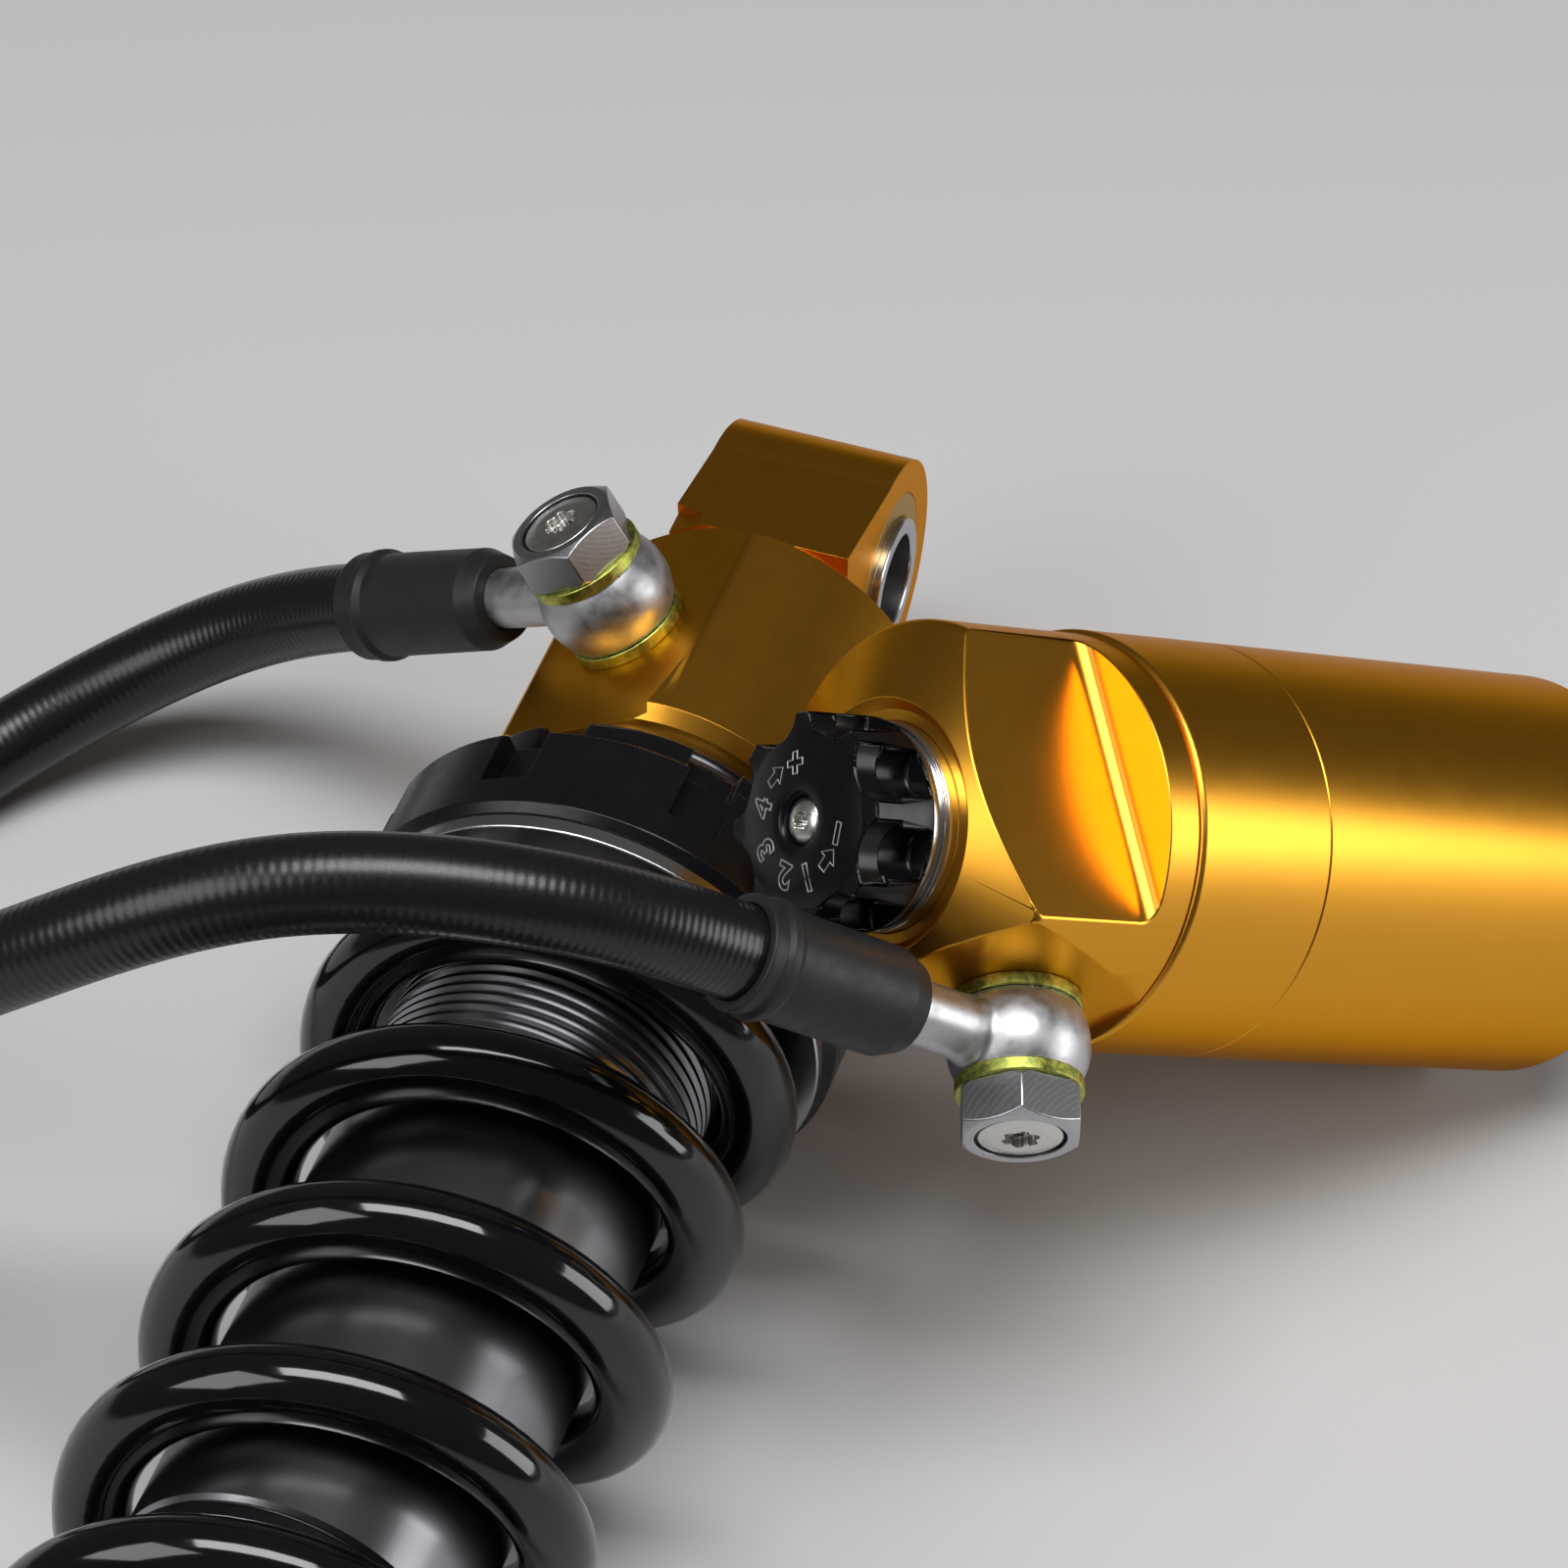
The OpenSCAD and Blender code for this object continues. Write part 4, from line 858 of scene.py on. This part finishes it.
def outline_mesh(shape):
    """A character or a closed line of points, as a thin raised outline."""
    kind = "FONT" if isinstance(shape, str) else "CURVE"
    curve = bpy.data.curves.new("mark", kind)
    if kind == "FONT":
        curve.body = shape
        curve.size = MARK_HEIGHT / 0.69
        curve.align_x = "CENTER"
        curve.offset = MARK_BOLD
        curve.fill_mode = "NONE"
        curve.resolution_u = 6
    else:
        curve.dimensions = "3D"
        line = curve.splines.new("POLY")
        line.points.add(len(shape) - 1)
        for point, (x, y) in zip(line.points, shape):
            point.co = (x, y + MARK_HEIGHT / 2, 0, 1)
        line.use_cyclic_u = True
    curve.bevel_depth = MARK_LINE
    curve.bevel_resolution = 1
    maker = bpy.data.objects.new("mark", curve)
    bpy.context.collection.objects.link(maker)
    graph = bpy.context.evaluated_depsgraph_get()
    mesh = bpy.data.meshes.new_from_object(maker.evaluated_get(graph))
    bpy.data.objects.remove(maker)
    return mesh


marks_bm = bmesh.new()
for angle, shape, own_turn in MARKS:
    mark = bmesh.new()
    mark.from_mesh(outline_mesh(shape))
    about_middle = (Matrix.Translation((0, MARK_HEIGHT / 2, 0)) @ turn("Z", own_turn)
                    @ Matrix.Translation((0, -MARK_HEIGHT / 2, 0)))
    moved(mark, turn("Z", angle - 90) @ Matrix.Translation((0, MARK_R - MARK_HEIGHT / 2, 0))
          @ about_middle)
    for vert in mark.verts:
        vert.co.z = vert.co.z * 0.35 + dome(vert.co.xy.length) + 0.01
    carrier = bpy.data.meshes.new("mark")
    mark.to_mesh(carrier)
    mark.free()
    marks_bm.from_mesh(carrier)
make_piece("knob_marks", marks_bm, RESERVOIR, mark_silver, "comp_knob", ())

# %% [markdown]
# The knob's screw is a small button head with a six-lobe socket.

# %% Turn the knob's screw
screw_line = [(0, 8.6), (1.4, 8.6), (1.4, 9.4), (2.6, 9.4), (2.6, 10.25), (2.5, 10.5),
              (2.2, 10.8), (1.7, 11.0), (1, 11.12), (0, 11.15)]
screw_bm = carved(spun(screw_line, 64, closed=True), six_lobes(1.15, 9.9, 12))
make_piece("button_screw", screw_bm, RESERVOIR, screw_steel, "comp_knob", ["knob_screw"],
           edge=0.07)

# %% [markdown]
# ## The reservoir's head
# The head is turned first, with a dished recess round the ring and a long cone. Then a mill cuts
# the flat beside the knob, whose cutter leaves a small fillet at the shoulder, and the seat that
# the hose's banjo is bolted on.

# %% Turn and mill the head
HEAD_R = 22.5
FLAT_D = 15.2
FLAT_LEN = 21.3
FLAT_TURN = 152.9
FLAT_FILLET = 2
CONE_LEN = 4.6
HEAD_LEN = 25.7
RECESS_R = 13.8
RECESS_FLOOR_R = 12.6
RECESS_DEPTH = 1.2
FAR = 45
head_line = filleted([
    (RING_R, -4.7, 0), (RING_R, -RECESS_DEPTH, 0),
    (RECESS_FLOOR_R, -RECESS_DEPTH, 0.3), (RECESS_R, 0, 0.25),
    (HEAD_R, -CONE_LEN, 1.2), (HEAD_R, -HEAD_LEN, 0.35), (RING_R, -HEAD_LEN, 0),
], steps=6)
flat_tool = prism(filleted([(FLAT_D, FAR, 0), (FLAT_D, -FLAT_LEN, FLAT_FILLET), (FAR, -FLAT_LEN, 0),
                            (FAR, FAR, 0)], 10), FAR)
moved(flat_tool, turn("Z", FLAT_TURN) @ turn("X", 90))
to_port = (Matrix.Translation((0, 0, -RES_PORT_ALONG)) @ turn("Z", RES_PORT_TURN)
           @ turn("Y", 90 - RES_PORT_LEAN) @ Matrix.Translation((0, 0, RES_SEAT_OUT)))
seat_tool = prism([(-FAR, -FAR), (FAR, -FAR), (FAR, FAR), (-FAR, FAR)], FAR / 2)
moved(seat_tool, to_port @ Matrix.Translation((0, 0, FAR / 2)))
port_hole = moved(rod_bm(5, -6, 2), to_port)
head_bm = carved(spun(head_line, 192, closed=True), [flat_tool, seat_tool, port_hole])
make_piece("milled_head", head_bm, RESERVOIR, gold_reservoir, "root", ["reservoir_head"],
           edge=0.16)

# %% [markdown]
# ## Banjo fittings
# A banjo is forged: a round eye that flows into its neck without a corner. The eye and the neck
# are joined, melted together by a fine remesh with some smoothing, and then faced and drilled.
# A hollow hex bolt with a small plug in its head clamps the eye between two washers.

# %% Forge the banjos
BANJO_R = 7.8
BANJO_H = 8.4
NECK_R = 3.55


def melt(work):
    """Remeshes a joined shape finely and rounds the corner where its parts meet."""
    remesh = work.modifiers.new("remesh", "REMESH")
    remesh.mode = "VOXEL"
    remesh.voxel_size = 0.22
    smooth = work.modifiers.new("flow", "SMOOTH")
    smooth.factor = 0.6
    smooth.iterations = 22


def banjo_bm():
    """A banjo with its eye's axis on Z and its neck on X, in the port's frame."""
    eye = bmesh.new()
    bmesh.ops.create_uvsphere(eye, u_segments=64, v_segments=40, radius=BANJO_R)
    neck = moved(rod_bm(NECK_R, 0, SLEEVE_START + 2, 48), turn("Y", 90))
    root = moved(rod_bm(4.6, 3, 8.6, 48, top_radius=NECK_R), turn("Y", 90))
    shape = carved(eye, [neck, root], "UNION", melt)
    slabs = []
    for side in (-1, 1):
        slab = prism([(-FAR, -FAR), (FAR, -FAR), (FAR, FAR), (-FAR, FAR)], FAR / 2)
        slabs.append(moved(slab, Matrix.Translation((0, 0, side * (BANJO_H / 2 + FAR / 2)))))
    faced = carved(shape, [*slabs, rod_bm(5.1, -9, 9, 64)])
    return moved(faced, Matrix.Translation((0, 0, EYE_MID)))


HEX_AF = 12.5
HEX_START = 11.4
HEX_TOP = 16.5
SEAT_R = 4.95
PLUG_R = 4.6


def bolt_bm():
    """The banjo bolt's chamfered hex head, with the seat of its plug."""
    head = moved(rod_bm(HEX_AF / math.cos(math.pi / 6) / 2, HEX_START, HEX_TOP, 6),
                 turn("Z", -21))
    shaper = spun(filleted([(0, HEX_START, 0), (6.75, HEX_START, 0.2), (7.6, HEX_START + 1, 0),
                            (7.6, HEX_TOP - 0.95, 0), (6.05, HEX_TOP, 0.15),
                            (0, HEX_TOP, 0)], 3), 96, closed=True)
    head = carved(head, [shaper], "INTERSECT")
    seat = spun([(0, HEX_TOP - 1.7), (SEAT_R, HEX_TOP - 1.7), (SEAT_R, HEX_TOP + 0.4),
                 (0, HEX_TOP + 0.4)], 64, closed=True)
    return carved(head, [seat])


def plug_bm():
    """The small plug in the bolt's head, with its socket."""
    body = spun(filleted([(0, HEX_TOP - 1.6, 0), (PLUG_R, HEX_TOP - 1.6, 0),
                          (PLUG_R, HEX_TOP - 0.2, 0.2), (PLUG_R - 1.4, HEX_TOP, 0.6),
                          (0, HEX_TOP + 0.05, 0)], 4), 64, closed=True)
    return carved(body, six_lobes(2.1, HEX_TOP - 1.1, HEX_TOP + 1))


COVER_R = 6.1
cover_line = filleted([
    (3.7, SLEEVE_START, 0), (5.0, SLEEVE_START, 0.4), (5.6, SLEEVE_START + 1.6, 0.5),
    (6.0, SLEEVE_START + 2.6, 0.5), (COVER_R, SLEEVE_END - 4.2, 0.4),
    (COVER_R + 0.55, SLEEVE_END - 3.4, 0.3), (COVER_R + 0.55, SLEEVE_END - 2.5, 0.3),
    (COVER_R + 0.05, SLEEVE_END - 1.9, 0.3), (COVER_R + 0.35, SLEEVE_END, 0.35),
    (5.28, SLEEVE_END, 0.1), (5.28, SLEEVE_END - 3, 0), (3.7, SLEEVE_START + 3, 0),
], steps=5)
for place, port in PORTS.items():
    make_piece(place + "_eye", banjo_bm(), port, fitting_silver[place], "root",
               [place + "_banjo"], edge=0.14)
    make_piece(place + "_hex", bolt_bm(), port, milled_hex[place], "root",
               [place + "_bolt"], edge=0.1)
    make_piece(place + "_stopper", plug_bm(), port, screw_steel, "root",
               [place + "_plug"], edge=0.07)
    sleeve = spun(cover_line, 64, closed=True)
    moved(sleeve, Matrix.Translation((0, 0, EYE_MID)) @ turn("Y", 90))
    make_piece(place + "_sleeve", sleeve, port, cover_rubber, "root",
               [place + "_cover"])

# %% [markdown]
# ## Parts inside
# The piston, the seals and the valve parts are out of sight, but each one still gets its finish.

# %% Finish the parts inside
INSIDE = {
    "rod_seal": seal_rubber, "piston": plain_aluminium,
    "piston_ring": bronze, "shims": bright_steel, "piston_nut": bright_steel,
    "topout_bumper": seal_rubber, "head_seal": seal_rubber, "floating_piston": plain_aluminium,
    "piston_seal": seal_rubber, "piston_band": bronze, "end_cap_seal": seal_rubber,
    "adjuster_body": ring_steel, "adjuster_needle": ring_steel, "detent_balls": ring_steel,
    "reservoir_ferrule": ring_steel, "shock_ferrule": ring_steel,
}
for node, material in INSIDE.items():
    nodes[node].data.materials.clear()
    nodes[node].data.materials.append(material)
print(len(INSIDE), "inner parts finished")

# %% [markdown]
# ## The studio
# A plain pale floor, and large soft lights. Metal shows what it reflects, so the lights are set to
# draw broad bright bands along the gold cylinders, with darker room between them.

# %% Floor, world and lights
FLOOR_Z = -29 * MM


def studio_floor():
    """A plain pale floor that the part lies on."""
    bm = bmesh.new()
    bmesh.ops.create_grid(bm, x_segments=1, y_segments=1, size=3)
    bmesh.ops.translate(bm, verts=bm.verts, vec=(0, 0, FLOOR_Z))
    mesh = bpy.data.meshes.new("floor")
    bm.to_mesh(mesh)
    bm.free()
    material, tree, shader = new_material("floor_paper")
    shader.inputs["Base Color"].default_value = (0.56, 0.56, 0.565, 1)
    shader.inputs["Roughness"].default_value = 0.85
    mesh.materials.append(material)
    floor = bpy.data.objects.new("floor", mesh)
    bpy.context.collection.objects.link(floor)
    return floor


def soft_light(name, place, target, size, power, colour=(1, 1, 1)):
    """A rectangular soft light that looks at a point."""
    data = bpy.data.lights.new(name, "AREA")
    data.shape = "RECTANGLE"
    data.size, data.size_y = size
    data.energy = power
    data.color = colour
    light = bpy.data.objects.new(name, data)
    light.location = place
    light.rotation_euler = (Vector(target) - Vector(place)).to_track_quat("-Z", "Y").to_euler()
    bpy.context.collection.objects.link(light)
    return light


studio_floor()
world = bpy.data.worlds.new("studio")
bpy.context.scene.world = world
world.use_nodes = True
world.node_tree.nodes["Background"].inputs["Color"].default_value = (0.80, 0.76, 0.72, 1)
world.node_tree.nodes["Background"].inputs["Strength"].default_value = 0.1
middle = tuple(ring_centre)
soft_light("above", (0.06, -0.17, 0.92), middle, (0.8, 0.34), 7.6)
soft_light("right_box", (0.62, 0.03, 0.17), middle, (0.36, 0.3), 1.5)
soft_light("left_front", (-0.39, -0.51, 0.47), middle, (0.4, 0.4), 1.7)
print("lights set")
